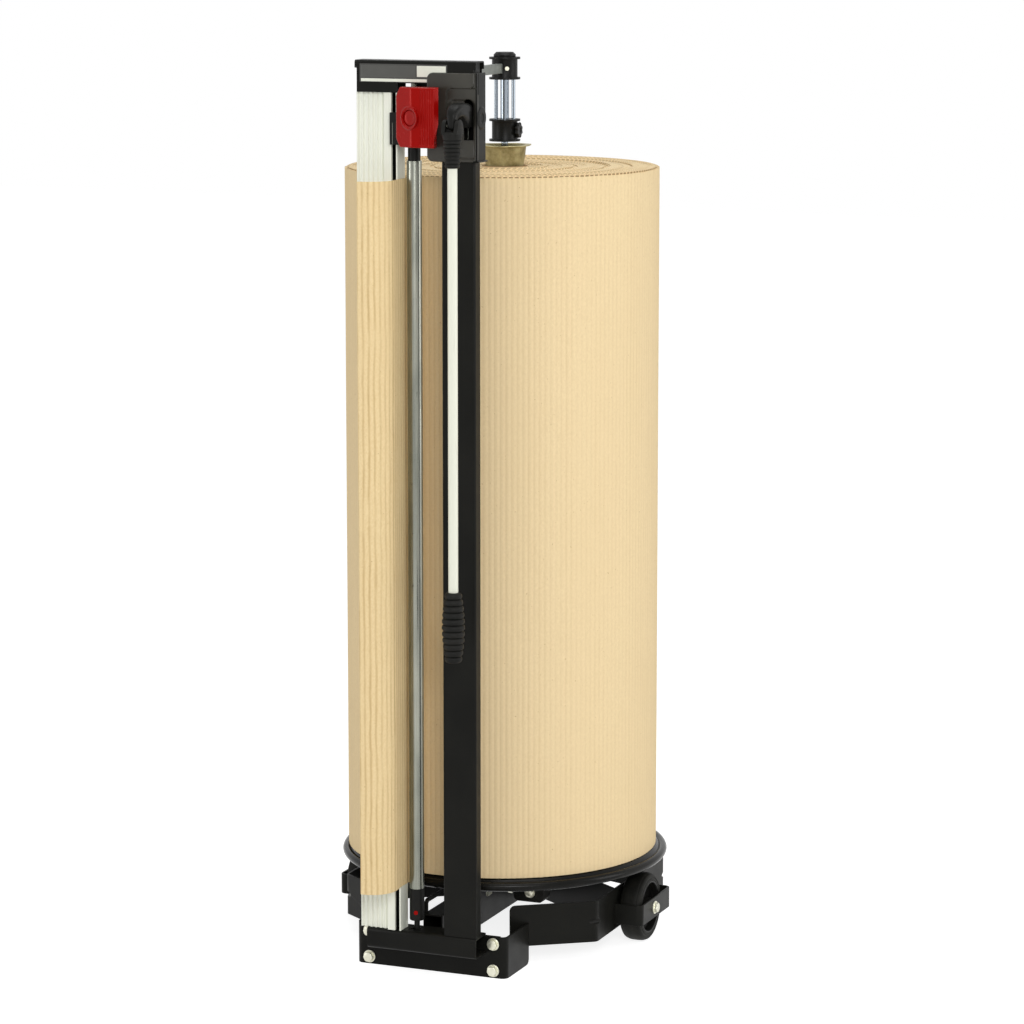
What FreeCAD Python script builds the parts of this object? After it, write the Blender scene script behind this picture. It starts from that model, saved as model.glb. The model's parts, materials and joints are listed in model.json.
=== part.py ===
"""Mobile upright stand for a roll of corrugated cardboard, with clamp and cutter.

The roll stands on end on a turntable. The web leaves the roll on the left, passes
forward between the flank of a fluted aluminium profile and a steel clamp tube, and
is cut by a blade carriage that runs down the tube. A pull rod on a gooseneck rocker
shifts the tube against the web. A cup on a sliding carrier centres the roll's core.

Millimetres. The working frame has its origin on the floor under the roll's middle,
-Y to the front, +Z up. The finished parts are moved so that the origin is the
bottom centre of the whole stand's bounding box.
"""
import FreeCAD
import Part
import math
import os
from FreeCAD import Vector

X = Vector(1, 0, 0)
Y = Vector(0, 1, 0)
Z = Vector(0, 0, 1)

# ---- sheet, running fits and gaps ------------------------------------------
FIT = 0.05              # radial clearance of a running or sliding fit
GAP = 0.3               # clearance between pieces that only pass each other
SHEET = 3.0             # chassis sheet
THIN_SHEET = 2.0        # header and housing sheet
PAST = 1.0              # how far a cut reaches past the surface it leaves by

# ---- roll and core ---------------------------------------------------------
ROLL_R = 228.0
ROLL_HEIGHT = 1000.0    # width of the cardboard web
CORE_R = 33.0
CORE_WALL = 4.0
AXIS_X = 4.0            # core and turntable axis beside the wound roll's middle

# ---- spine and legs --------------------------------------------------------
SPINE_WIDTH = 30.0
SPINE_HEIGHT = 50.0
SPINE_WALL = 2.5
SPINE_LIFT = 30.0
LEG_LIFT = 26.0
LEG_HEIGHT = 60.0
LEG_SPAN = 198.5        # outer face of a leg from the middle plane
LEG_BEND = 10.0
LEG_CORNER = 8.0
LEG_TIP_X = 92.0
LEG_OVERLAP = 14.0      # front tip ahead of the end of the bracket's flange
LEG_FRONT_RUN = 73.0    # depth of the slanted front run
LEG_REAR_BEND = 158.0   # rear bend behind the wheel axle
LEG_REAR_RUN = 68.0     # depth of the slanted rear run
GUSSET_REACH = 16.0
GUSSET_HEIGHT = 10.0
GUSSET_GROOVE = 4.0
CROSS_PLATE_REAR = 82.0
CROSS_PLATE_FRONT = 47.0

# ---- front bracket, bolts and crossbar -------------------------------------
BRACKET_CLEAR = 38.0    # bracket ahead of the roll
BRACKET_WIDTH = 232.0
BRACKET_HEIGHT = 60.0
BRACKET_BEND = 8.0
FLANGE_LENGTH = 85.0
HEAD_PLATE_THICK = 4.0
HEAD_PLATE_LIFT = 2.0
BOLT_INSET = 20.0
BOLT_EDGE = 10.8
BOLT_R = 4.0
BOLT_PLAY = 0.25
HEX_FLATS = 13.0
HEAD_THICK = 5.5
NUT_THICK = 6.5
WASHER_R = 9.0
WASHER_THICK = 1.6
CROSS_DEPTH = 38.0
CROSS_HEIGHT = 30.0
CROSS_LIFT = 35.0
CROSS_BEND = 4.0
CROSS_INSET = 10.0      # crossbar's left end inside the profile's left side

# ---- wheels ----------------------------------------------------------------
WHEEL_R = 50.0
WHEEL_WIDTH = 32.0
WHEEL_SIDE_GAP = 4.0
TYRE_THICK = 12.0
TYRE_BEVEL = 6.5
TYRE_CROWN = 3.0
RIM_WALL = 2.5
WEB_RECESS = 12.0
HUB_BARREL_R = 13.0
AXLE_R = 6.0
STRAP_HEIGHT = 30.0
STRAP_FRONT = 54.0
STRAP_REAR = 68.0
STRAP_BEND = 8.0

# ---- turntable and its bearing ---------------------------------------------
DISC_THICK = 2.0
DISC_STEP = 4.0         # disc above the top of its rolled rim
RIM_REACH = 12.5        # rolled rim outside the roll
BEAD_R = 6.5
HUB_R = 30.0
HUB_HEIGHT = 34.0
SPINDLE_R = 10.0
BEARING_R = 26.0
BEARING_HEIGHT = 15.7
BEARING_GROOVE = 4.0
BEARING_RACE = 6.0

# ---- fluted profile and blade slot -----------------------------------------
FLANK_X = -30.0         # right flank of the profile, which the web is clamped to
PROFILE_WIDTH = 63.0
PROFILE_DEPTH = 26.0
PROFILE_WALL = 3.0
FLANK_WALL = 2.0
SLOT_WIDTH = 7.0
SLOT_DEPTH = 20.0
SEAL_THICK = 3.0
BAND_WIDTH = 11.0       # plain raised band beside the slot
BAND_PROUD = 4.0
FLUTE_COUNT = 6
FLUTE_DEPTH = 1.8
FLUTE_LAND = 2.4
HEADROOM = 119.0        # profile above the upper edge of the web

# ---- mast ------------------------------------------------------------------
MAST_GAP = 65.0         # mast's left side from the profile's flank
MAST_WIDTH = 50.0
MAST_DEPTH = 20.0
MAST_WALL = 2.0
MAST_CORNER = 3.0
MAST_SETBACK = 2.0      # mast front behind the crossbar's front

# ---- clamp tube ------------------------------------------------------------
THROAT = 6.6            # open gap between flank and tube
TUBE_SETBACK = 19.0     # tube axis behind the profile's front
TUBE_R = 10.5
TUBE_WALL = 2.0
FOOT_LIFT = 14.0        # foot above the crossbar
FOOT_LENGTH = 46.0
TUBE_OVER = 25.0        # tube above the upper edge of the web
NECK_STEP = 1.7
NECK_LENGTH = 21.0
PLUG_SHORT = 2.0        # plug ends this far below the header
SPIGOT_LENGTH = 35.0
STUD_R = 4.0
STUD_DEPTH = 24.0
STUD_SEAT = 8.0
CLAMP_REST = 0.4        # room left when the tube is closed on the web
LINK_WIDTH = 8.0
LINK_LIFT = 13.0        # link above the header's lower edge
LINK_THICK = 8.0
LINK_REACH = 22.0       # link inside the mast
LINK_TONGUE = 10.0
LINK_CLEAR = 3.0
RELEASE_RISE = 12.5
RELEASE_R = 3.0
RELEASE_PROUD = 1.6
RELEASE_LENGTH = 7.0
RELEASE_AZIMUTH = 15.0

# ---- web of cardboard ------------------------------------------------------
WEB_THICK = 2.0
WEB_BEND_BEHIND = 13.0  # first bend behind the profile
WEB_FREE = 21.0         # straight free run in front of the profile
WEB_LEAN = 6.0
WEB_CURL_R = 34.0
WEB_CURL_TURN = 100.0
WEB_ENTRY_R = 20.0

# ---- blade carriage --------------------------------------------------------
CARRIAGE_HEIGHT = 82.0
CARRIAGE_PARK = 9.0     # cover's top above the header's lower edge
COVER_INSET = 2.0       # cover's left side right of the flank
COVER_WIDTH = 71.3
COVER_DEPTH = 25.5
COVER_STANDOFF = 8.5    # cover's back ahead of the profile's front
COVER_WALL = 2.5
COVER_SLANT = 9.2       # left face falls back this far from the ridge
RIDGE_ACROSS = 34.5
RIB_FIRST = 49.2        # first groove from the cover's left side
RIB_COUNT = 6
RIB_PITCH = 3.9
RIB_DEPTH = 1.0
COVER_BEVEL = 6.6
COVER_LEAN = 6.0        # right side leans in towards the back
CHAMFER_ACROSS = 8.0
CHAMFER_ALONG = 13.0
RELIEF_TOP = 19.0
RELIEF_RUN = 13.0
BUTTON_ACROSS = 30.4
BUTTON_RISE = 40.5
BUTTON_R = 10.5
BUTTON_PROUD = 0.4
BUTTON_DEEP = 8.0
BOSS_R = 15.5
BOSS_RIM = 3.0
BOSS_PROUD = 1.0
BUSH_WALL = 4.0
BUSH_OPEN = 9.3         # bush is open beyond this, towards the web
BUSH_INSET = 2.0
HOLDER_THICK = 5.0
HOLDER_MARGIN = 4.1
HOLDER_SHORT = 25.0
BLADE_INSET = 1.4       # blade from the slot's right wall
BLADE_THICK = 0.6
BLADE_REACH = 13.5      # blade behind the profile's front
BLADE_LENGTH = 30.0
BLADE_EDGE = 18.0

# ---- header, label and housing ---------------------------------------------
HEADER_HEIGHT = 44.0
HEADER_LIP = 3.0
HEADER_LIP_HEIGHT = 11.0
NOTCH_MARGIN = 1.0
NOTCH_WIDTH = 53.0
NOTCH_HEIGHT = 13.0
PAPER_SLOT = 12.0       # width of the notch that goes on through the back
GUIDE_CLEAR = 3.0
LABEL_MARGIN = 5.0
LABEL_WIDTH = 131.0
LABEL_HEIGHT = 25.0
LABEL_DROP = 5.0
LABEL_THICK = 0.5
HOUSING_WING = 18.5     # housing beyond the mast's left side
HOUSING_SIDE = 5.5      # housing beyond the mast's right side
HOUSING_STANDOFF = 4.0  # housing ahead of the header
HOUSING_DEPTH = 32.0
HOUSING_HEIGHT = 121.5
HOUSING_DROP = 15.5     # housing's top below the header's top
HOUSING_CORNER = 9.0
WING_DEPTH = 7.0
STEP_LEFT = 28.8
STEP_RIGHT = 4.5
STEP_DROP = 20.5
STEP_R = 8.0
STEP_DEPTH = 1.2
SCOOP_LEFT = 30.5
SCOOP_RIGHT = 3.5
SCOOP_HEIGHT = 86.4
SCOOP_R = 8.0
SCOOP_DEPTH = 3.5
SIDE_BOSS_R = 15.0
SIDE_BOSS_PROUD = 1.0

# ---- rocker and pull rod ---------------------------------------------------
PIVOT_SETBACK = 10.0    # pivot behind the mast's front
PIVOT_RISE = 60.0       # pivot above the housing's lower edge
PIVOT_R = 4.5
ARM_INSET = 8.6         # arm's middle from the mast's right side
ARM_WIDTH = 12.4
ARM_DEPTH = 15.0
ARM_CHAMFER = 2.5
ARM_HUB_R = 7.5
ROOT_DROP = 21.0        # root of the arm below the pivot
NECK_WIDTH = 20.0
NECK_CLEAR = 2.5
NECK_RISE = 12.0
PULL_REACH = 68.0
PULL_DROP = 7.0
NECK_BEND = 14.0
ROCKER_SLOT_UP = 26.0
ROCKER_SLOT_DOWN = 30.0
SPRING_R = 6.2
SPRING_WIRE = 1.4
SPRING_COILS = 5
SPRING_GROOVE = 0.4
SPRING_TAIL = 30.0
SPRING_TAIL_R = 0.55
EYE_R = 7.0
PULL_PIN_R = 3.0
EAR_THICK = 8.25
EAR_R = 12.9            # half depth of the yoke
EAR_TOP_R = 8.5
YOKE_DROP = 8.0         # slot's bottom below the pull pin
DECK_THICK = 11.0
BOOT_LENGTH = 38.0
BOOT_BOTTOM_R = 10.1
BOOT_RIBS = 7
BOOT_GROOVE = 1.2
ROD_R = 6.8
ROD_INSERT = 25.0
ROD_SHOWN = 582.0
GRIP_LENGTH = 98.0
GRIP_R = 16.0
GRIP_END_R = 11.5
GRIP_RIBS = 11
GRIP_GROOVE = 2.2
GRIP_FLOOR = 3.0

# ---- centring carrier ------------------------------------------------------
CENTRE_ARM_DROP = 16.0  # arm below the header's top
CENTRE_ARM_HEIGHT = 14.0
CENTRE_ARM_THICK = 8.0
COLLAR_R = 18.5
COLLAR_HEIGHT = 32.0
COLLAR_FLANGE_R = 22.5
COLLAR_FLANGE = 3.0
CENTRE_ROD_R = 6.3
SIDE_ROD_R = 2.8
SIDE_ROD_X = 13.5
ROD_CAP_R = 16.0
ROD_CAP_HEIGHT = 7.0
COLLAR_BOLT_AZIMUTH = 32.0
COLLAR_BOLT_R = 3.0
COLLAR_BOLT_DEEP = 4.0
COLLAR_BOLT_PROUD = 2.0
KNOB_R = 6.5
KNOB_LENGTH = 6.0
KNOB_GAP = 2.0
KNOB_STEM_R = 2.5
CUP_SHOWS = 30.0        # cup's rim above the roll
CUP_DEPTH = 54.0
CUP_RIM_R = 38.6
CUP_TOP_R = 31.0
CUP_BOTTOM_R = 24.0
CUP_WALL = 1.5
CUP_DECK = 12.0         # deck below the cup's rim
CUP_AXLE_R = 5.0
CUP_NUT_R = 9.0
CUP_NUT_THICK = 6.0
CUP_COLLAR_GAP = 5.0

# ---- roll brake ------------------------------------------------------------
BRAKE_INSET = 78.0      # brake behind the roll's front
BRAKE_RISE = 20.0       # brake rod above the spine
BRAKE_ROD_R = 4.0
BRAKE_LUG = 16.0
BRAKE_LUG_OVER = 10.0
BRAKE_TAB = 40.0
BRAKE_TAB_DROP = 14.0
BRAKE_NUTS = (52.0, 72.0)
BRAKE_BLOCK = 85.0
BLOCK_WIDTH = 46.0
BLOCK_DEPTH = 26.0
BLOCK_DROP = 14.0
BLOCK_CORNER = 7.0
BLOCK_BOLT = 25.0
BRAKE_LINK_THICK = 5.0
BRAKE_LINK_RISE = 18.0  # link above the spine
BRAKE_LINK_START = 5.0  # link's foot behind the head plate
BRAKE_LINK_BEND = 6.0

# ---- places that follow from the sizes -------------------------------------
SPINE_TOP = SPINE_LIFT + SPINE_HEIGHT
LEG_TOP = LEG_LIFT + LEG_HEIGHT
HUB_BOTTOM = SPINE_TOP + BEARING_HEIGHT + GAP
DISC_TOP = HUB_BOTTOM + HUB_HEIGHT
WEB_TOP = DISC_TOP + ROLL_HEIGHT
RIM_R = ROLL_R + RIM_REACH

BRACKET_FRONT = -(ROLL_R + BRACKET_CLEAR)
BRACKET_HALF = BRACKET_WIDTH / 2
FLANGE_END = BRACKET_FRONT + FLANGE_LENGTH
LEG_TIP_Y = FLANGE_END - LEG_OVERLAP
LEG_FRONT_BEND = LEG_TIP_Y + LEG_FRONT_RUN
SPINE_REAR = LEG_REAR_BEND + LEG_REAR_RUN
CROSS_FRONT = BRACKET_FRONT - CROSS_DEPTH
CROSS_TOP = CROSS_LIFT + CROSS_HEIGHT

PROFILE_LEFT = FLANK_X - PROFILE_WIDTH
PROFILE_FRONT = CROSS_FRONT
PROFILE_BACK = PROFILE_FRONT + PROFILE_DEPTH
PROFILE_TOP = WEB_TOP + HEADROOM
SLOT_RIGHT = FLANK_X - FLANK_WALL
SLOT_LEFT = SLOT_RIGHT - SLOT_WIDTH

MAST_LEFT = FLANK_X + MAST_GAP
MAST_RIGHT = MAST_LEFT + MAST_WIDTH
MAST_FRONT = CROSS_FRONT + MAST_SETBACK
MAST_BACK = MAST_FRONT + MAST_DEPTH

TUBE_X = FLANK_X + THROAT + TUBE_R
TUBE_Y = PROFILE_FRONT + TUBE_SETBACK
CLAMP_TRAVEL = THROAT - GAP - WEB_THICK - CLAMP_REST
FOOT_BOTTOM = CROSS_TOP + FOOT_LIFT
TUBE_BOTTOM = FOOT_BOTTOM + FOOT_LENGTH
TUBE_TOP = WEB_TOP + TUBE_OVER
NECK_TOP = TUBE_TOP + NECK_LENGTH
PLUG_TOP = PROFILE_TOP - PLUG_SHORT
LINK_BOTTOM = PROFILE_TOP + LINK_LIFT
LINK_TOP = LINK_BOTTOM + LINK_THICK

CARRIAGE_TOP = PROFILE_TOP + CARRIAGE_PARK
CARRIAGE_BOTTOM = CARRIAGE_TOP - CARRIAGE_HEIGHT
COVER_LEFT = FLANK_X + COVER_INSET
COVER_RIGHT = COVER_LEFT + COVER_WIDTH
COVER_BACK = PROFILE_FRONT - COVER_STANDOFF
COVER_FRONT = COVER_BACK - COVER_DEPTH
BUTTON_X = COVER_LEFT + BUTTON_ACROSS
BUTTON_Z = CARRIAGE_BOTTOM + BUTTON_RISE
BLADE_X = SLOT_RIGHT - BLADE_INSET

HEADER_BOTTOM = PROFILE_TOP
HEADER_TOP = HEADER_BOTTOM + HEADER_HEIGHT
HEADER_LEFT = PROFILE_LEFT + HEADER_LIP
HEADER_RIGHT = MAST_RIGHT
HEADER_FRONT = CROSS_FRONT - THIN_SHEET
HEADER_BACK = PROFILE_BACK + THIN_SHEET
NOTCH_LEFT = FLANK_X + NOTCH_MARGIN
NOTCH_RIGHT = NOTCH_LEFT + NOTCH_WIDTH
GUIDE_BOTTOM = LINK_TOP + GUIDE_CLEAR

HOUSING_LEFT = MAST_LEFT - HOUSING_WING
HOUSING_RIGHT = MAST_RIGHT + HOUSING_SIDE
HOUSING_FRONT = HEADER_FRONT - HOUSING_STANDOFF
HOUSING_BACK = HOUSING_FRONT + HOUSING_DEPTH
HOUSING_TOP = HEADER_TOP - HOUSING_DROP
HOUSING_BOTTOM = HOUSING_TOP - HOUSING_HEIGHT

ARM_X = MAST_RIGHT - ARM_INSET
PIVOT_Y = MAST_FRONT + PIVOT_SETBACK
PIVOT_Z = HOUSING_BOTTOM + PIVOT_RISE
NECK_Z = PIVOT_Z + NECK_RISE
PULL_Y = PIVOT_Y - PULL_REACH
PULL_Z = PIVOT_Z - PULL_DROP
DECK_TOP = PULL_Z - YOKE_DROP
BOOT_TOP = DECK_TOP - DECK_THICK
BOOT_BOTTOM = BOOT_TOP - BOOT_LENGTH
GRIP_TOP = BOOT_BOTTOM - ROD_SHOWN
GRIP_BOTTOM = GRIP_TOP - GRIP_LENGTH

CENTRE_ARM_TOP = HEADER_TOP - CENTRE_ARM_DROP
CENTRE_ARM_BOTTOM = CENTRE_ARM_TOP - CENTRE_ARM_HEIGHT
UPPER_COLLAR_TOP = CENTRE_ARM_TOP + (COLLAR_HEIGHT - CENTRE_ARM_HEIGHT) / 2
UPPER_COLLAR_BOTTOM = UPPER_COLLAR_TOP - COLLAR_HEIGHT
CUP_RIM_Z = WEB_TOP + CUP_SHOWS
CUP_BOTTOM_Z = CUP_RIM_Z - CUP_DEPTH
LOWER_COLLAR_BOTTOM = CUP_RIM_Z + CUP_COLLAR_GAP
LOWER_COLLAR_TOP = LOWER_COLLAR_BOTTOM + COLLAR_HEIGHT

BRAKE_Y = BRAKE_INSET - ROLL_R
BRAKE_Z = SPINE_TOP + BRAKE_RISE


# ---- helpers ---------------------------------------------------------------
def box(x, y, z):
    """Box between the (low, high) pairs x, y and z."""
    return Part.makeBox(x[1] - x[0], y[1] - y[0], z[1] - z[0], Vector(x[0], y[0], z[0]))


def rod(radius, start, end):
    """Round rod between two points."""
    return Part.makeCylinder(radius, (end - start).Length, start, end - start)


def pipe(outer, inner, start, end):
    """Round tube between two points."""
    return rod(outer, start, end).cut(rod(inner, start, end))


def hexagon(flats, start, end):
    """Hexagonal prism between two points, by its size across flats."""
    axis = (end - start).normalize()
    side = axis.cross(Z)
    if side.Length < 0.1:
        side = Vector(X)
    side.normalize()
    up = axis.cross(side)
    radius = flats / math.sqrt(3.0)
    turns = [math.radians(60.0 * step + 30.0) for step in range(7)]
    corners = [start + (side * math.cos(turn) + up * math.sin(turn)) * radius for turn in turns]
    return Part.Face(Part.makePolygon(corners)).extrude(end - start)


def rounded_face(corners, radii):
    """Face of a closed polygon with rounded corners; a radius of 0 keeps a corner sharp."""
    bends = []
    for index, radius in enumerate(radii):
        corner = corners[index]
        into = (corner - corners[index - 1]).normalize()
        out = (corners[(index + 1) % len(corners)] - corner).normalize()
        half_turn = into.getAngle(out) / 2
        reach = radius * math.tan(half_turn)
        inward = (out - into).normalize() * (radius / math.cos(half_turn) - radius)
        bends.append((corner - into * reach, corner + inward, corner + out * reach, radius))
    edges = []
    for index, (start, middle, end, radius) in enumerate(bends):
        edges.append(Part.LineSegment(bends[index - 1][2], start).toShape())
        if radius:
            edges.append(Part.Arc(start, middle, end).toShape())
    return Part.Face(Part.Wire(edges))


def slab(corners, radii, depth):
    """Solid over a rounded polygon, carried along a vector."""
    return rounded_face(corners, radii).extrude(depth)


def sharp(corners, depth):
    """Solid over a polygon with sharp corners, carried along a vector."""
    return Part.Face(Part.makePolygon(corners + corners[:1])).extrude(depth)


def prism(points, low, high):
    """Upright prism over a closed outline of (x, y) points."""
    return sharp([Vector(x, y, low) for x, y in points], Z * (high - low))


def turned(profile, x, y):
    """Solid of revolution about the upright line through x, y from (radius, z) points."""
    corners = [Vector(x + radius, y, z) for radius, z in profile]
    face = Part.Face(Part.makePolygon(corners + corners[:1]))
    return face.revolve(Vector(x, y, 0), Z, 360)


def band_side(points, radii, offset):
    """Edges of a bent path moved sideways; positive offsets lie left of the path."""
    edges = []
    spots = [Vector(x, y, 0) for x, y in points]
    first = (spots[1] - spots[0]).normalize()
    last_end = spots[0] + Z.cross(first) * offset
    for index, radius in enumerate(radii, start=1):
        into = (spots[index] - spots[index - 1]).normalize()
        out = (spots[index + 1] - spots[index]).normalize()
        turn = math.atan2(into.cross(out).z, into.dot(out))
        reach = radius * math.tan(abs(turn) / 2)
        sign = math.copysign(1.0, turn)
        begin = spots[index] - into * reach
        centre = begin + Z.cross(into) * (radius * sign)
        start = begin + Z.cross(into) * offset
        middle = centre + (spots[index] - centre).normalize() * (radius - sign * offset)
        end = spots[index] + out * reach + Z.cross(out) * offset
        edges.append(Part.LineSegment(last_end, start).toShape())
        edges.append(Part.Arc(start, middle, end).toShape())
        last_end = end
    final = (spots[-1] - spots[-2]).normalize()
    edges.append(Part.LineSegment(last_end, spots[-1] + Z.cross(final) * offset).toShape())
    return edges


def band(points, radii, thickness):
    """Face of a bent strip of sheet seen on edge, in the XY plane."""
    left = band_side(points, radii, thickness / 2)
    right = band_side(points, radii, -thickness / 2)
    start = Part.LineSegment(left[0].Vertexes[0].Point, right[0].Vertexes[0].Point).toShape()
    end = Part.LineSegment(left[-1].Vertexes[-1].Point, right[-1].Vertexes[-1].Point).toShape()
    return Part.Face(Part.Wire(Part.__sortEdges__(left + right + [start, end])))


def bent_sheet(points, radii, thickness, low, high):
    """Bent strip of sheet standing upright between two heights."""
    sheet = band(points, radii, thickness).extrude(Z * (high - low))
    sheet.translate(Z * low)
    return sheet


def folded_along_x(points, radii, thickness, low, high):
    """Sheet folded about the X direction, from (y, z) points, between two x values."""
    sheet = band(points, radii, thickness).extrude(Z * (high - low))
    sheet.Placement = FreeCAD.Placement(FreeCAD.Matrix(0, 0, 1, low, 1, 0, 0, 0, 0, 1, 0, 0))
    return sheet


def mirrored(shape):
    """Copy on the other side of the stand's middle plane."""
    return shape.mirror(Vector(0, 0, 0), X)


def without(shape, cutters):
    """Shape with several others cut away."""
    for cutter in cutters:
        shape = shape.cut(cutter)
    return shape


def rounded(shape, radius, wanted):
    """Fillet the edges that a test picks out."""
    return shape.makeFillet(radius, [edge for edge in shape.Edges if wanted(edge)])


def runs_along(edge, axis):
    """True if an edge is straight and parallel to an axis."""
    if edge.Curve.TypeId != "Part::GeomLine":
        return False
    return abs(edge.tangentAt(edge.FirstParameter).dot(axis)) > 0.999


# ---- chassis ---------------------------------------------------------------
def leg_corners():
    """Corners of the right leg's middle line, from its front tip to the spine's rear end."""
    side = LEG_SPAN - SHEET / 2
    rear = (SPINE_WIDTH / 2 + SHEET, SPINE_REAR - SHEET / 2)
    return [(LEG_TIP_X, LEG_TIP_Y), (side, LEG_FRONT_BEND), (side, LEG_REAR_BEND), rear]


def gusset(before, corner, after):
    """Filler inside a leg's bend and round bar that presses the groove into its outside."""
    before, corner, after = [Vector(x, y, LEG_LIFT + LEG_HEIGHT / 2) for x, y in (before, corner, after)]
    into = (corner - before).normalize()
    out = (after - corner).normalize()
    half_turn = into.getAngle(out) / 2
    low = Z * (-GUSSET_HEIGHT / 2)
    tips = [corner - into * GUSSET_REACH + low, corner + low, corner + out * GUSSET_REACH + low]
    inward = (out - into).normalize()
    skin = corner + inward * (LEG_BEND / math.cos(half_turn) - LEG_BEND - SHEET / 2)
    along = (into + out).normalize() * GUSSET_REACH
    return sharp(tips, Z * GUSSET_HEIGHT), rod(GUSSET_GROOVE, skin - along, skin + along)


def right_leg():
    """Bent side plate that carries the wheel, with a pressed gusset in each bend."""
    corners = leg_corners()
    leg = bent_sheet(corners, (LEG_BEND, LEG_BEND), SHEET, LEG_LIFT, LEG_TOP)
    spine_zone = (-SPINE_WIDTH / 2, SPINE_WIDTH / 2)
    leg = leg.cut(box(spine_zone, (0, 2 * SPINE_REAR), (0, LEG_TOP + PAST)))

    def at_tip(edge):
        low = edge.BoundBox
        tip = low.YMax < LEG_TIP_Y + SHEET and low.XMax < LEG_TIP_X + SHEET
        return tip and low.ZLength < 0.01 and edge.Length < 1.1 * SHEET

    leg = rounded(leg, LEG_CORNER, at_tip)
    for index in (1, 2):
        filler, groove = gusset(*corners[index - 1:index + 2])
        leg = leg.fuse(filler).cut(groove)
    return leg.removeSplitter().cut(rod(AXLE_R, Z * WHEEL_R, Z * WHEEL_R + X * 2 * LEG_SPAN))


def bolt_lines(radius, front, back):
    """Round bars along the four frame bolts."""
    across = BRACKET_HALF - BOLT_INSET
    spots = [(side * across, z) for side in (-1, 1) for z in (BOLT_EDGE, BRACKET_HEIGHT - BOLT_EDGE)]
    return [rod(radius, Vector(x, front, z), Vector(x, back, z)) for x, z in spots]


def front_bracket():
    """U-shaped foot plate whose flanges end against the legs."""
    side = BRACKET_HALF - SHEET / 2
    front = BRACKET_FRONT + SHEET / 2
    path = [(-side, FLANGE_END), (-side, front), (side, front), (side, FLANGE_END)]
    plate = bent_sheet(path, (BRACKET_BEND, BRACKET_BEND), SHEET, 0, BRACKET_HEIGHT)

    def lower_rear(edge):
        low = edge.BoundBox
        return runs_along(edge, X) and low.YMin > FLANGE_END - PAST and low.ZMax < PAST

    plate = rounded(plate, LEG_CORNER, lower_rear)
    tip, bend = [Vector(x, y, 0) for x, y in leg_corners()[:2]]
    outward = (bend - tip).normalize().cross(Z) * (SHEET / 2)
    far = Y * SPINE_REAR
    outline = [tip + outward, bend + outward, bend + far, tip + far]
    behind = prism([(spot.x, spot.y) for spot in outline], -PAST, LEG_TOP)
    plate = without(plate, [behind, mirrored(behind)])
    return without(plate, bolt_lines(BOLT_R + BOLT_PLAY, BRACKET_FRONT - PAST, BRACKET_FRONT + SHEET + PAST))


def frame_bolts():
    """Four hexagon bolts with washers and nuts, from the bracket into the head plate."""
    back = BRACKET_FRONT + SHEET + HEAD_PLATE_THICK
    bolts = []
    for shank in bolt_lines(BOLT_R, BRACKET_FRONT, back):
        spot = Vector(shank.BoundBox.Center.x, BRACKET_FRONT, shank.BoundBox.Center.z)
        seat = spot - Y * WASHER_THICK
        washer = rod(WASHER_R, seat, spot)
        head = hexagon(HEX_FLATS, seat - Y * HEAD_THICK, seat)
        nut_seat = Vector(spot.x, back, spot.z)
        nut = hexagon(HEX_FLATS, nut_seat, nut_seat + Y * NUT_THICK)
        bolts.append(shank.fuse([washer, head, nut]).removeSplitter())
    return bolts


def stud_slot(low, high):
    """Slot for a stud of the clamp tube over the tube's travel."""
    room = STUD_R + GAP
    return box((TUBE_X - CLAMP_TRAVEL - room, TUBE_X + room), (TUBE_Y - room, TUBE_Y + room), (low, high))


def crossbar():
    """Folded channel that carries the mast and the profile in front of the bracket."""
    front = CROSS_FRONT + SHEET / 2
    low = CROSS_LIFT + SHEET / 2
    high = CROSS_TOP - SHEET / 2
    path = [(BRACKET_FRONT, low), (front, low), (front, high), (BRACKET_FRONT, high)]
    bar = folded_along_x(path, (CROSS_BEND, CROSS_BEND), SHEET, PROFILE_LEFT + CROSS_INSET, MAST_RIGHT)
    return bar.cut(stud_slot(CROSS_TOP - 2 * SHEET, CROSS_TOP + PAST))


def spine():
    """Box beam under the turntable with a plate at its front end for the frame bolts."""
    plate_front = BRACKET_FRONT + SHEET
    plate_back = plate_front + HEAD_PLATE_THICK
    half = SPINE_WIDTH / 2
    inner = half - SPINE_WALL
    plate_half = BRACKET_HALF - BRACKET_BEND - SHEET
    beam = box((-half, half), (plate_back, SPINE_REAR), (SPINE_LIFT, SPINE_TOP))
    hollow = box((-inner, inner), (plate_back, SPINE_REAR + PAST),
                 (SPINE_LIFT + SPINE_WALL, SPINE_TOP - SPINE_WALL))
    plate = box((-plate_half, plate_half), (plate_front, plate_back), (HEAD_PLATE_LIFT, BRACKET_HEIGHT))
    beam = beam.cut(hollow).fuse(plate).removeSplitter()
    return without(beam, bolt_lines(BOLT_R + BOLT_PLAY, plate_front - PAST, plate_back + PAST))


def right_cross_plate():
    """Upright plate that ties the spine to the leg beside the wheel."""
    half = SPINE_WIDTH / 2
    leg_inner = LEG_SPAN - SHEET
    rise = (CROSS_PLATE_REAR + CROSS_PLATE_FRONT) / (leg_inner - half)
    start = (half - SHEET, CROSS_PLATE_REAR + SHEET * rise)
    end = (leg_inner + SHEET, -CROSS_PLATE_FRONT - SHEET * rise)
    plate = bent_sheet([start, end], (), SHEET, LEG_LIFT, LEG_TOP)
    return plate.common(box((half, leg_inner), (-SPINE_REAR, SPINE_REAR), (0, LEG_TOP)))


# ---- wheels ----------------------------------------------------------------
def wheel_centre():
    """Middle of the right wheel, beside the leg's outer face."""
    return Vector(LEG_SPAN + WHEEL_SIDE_GAP + WHEEL_WIDTH / 2, 0, WHEEL_R)


def strap_outer():
    """Outer face of the wheel strap."""
    return wheel_centre().x + WHEEL_WIDTH / 2 + WHEEL_SIDE_GAP + SHEET


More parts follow.
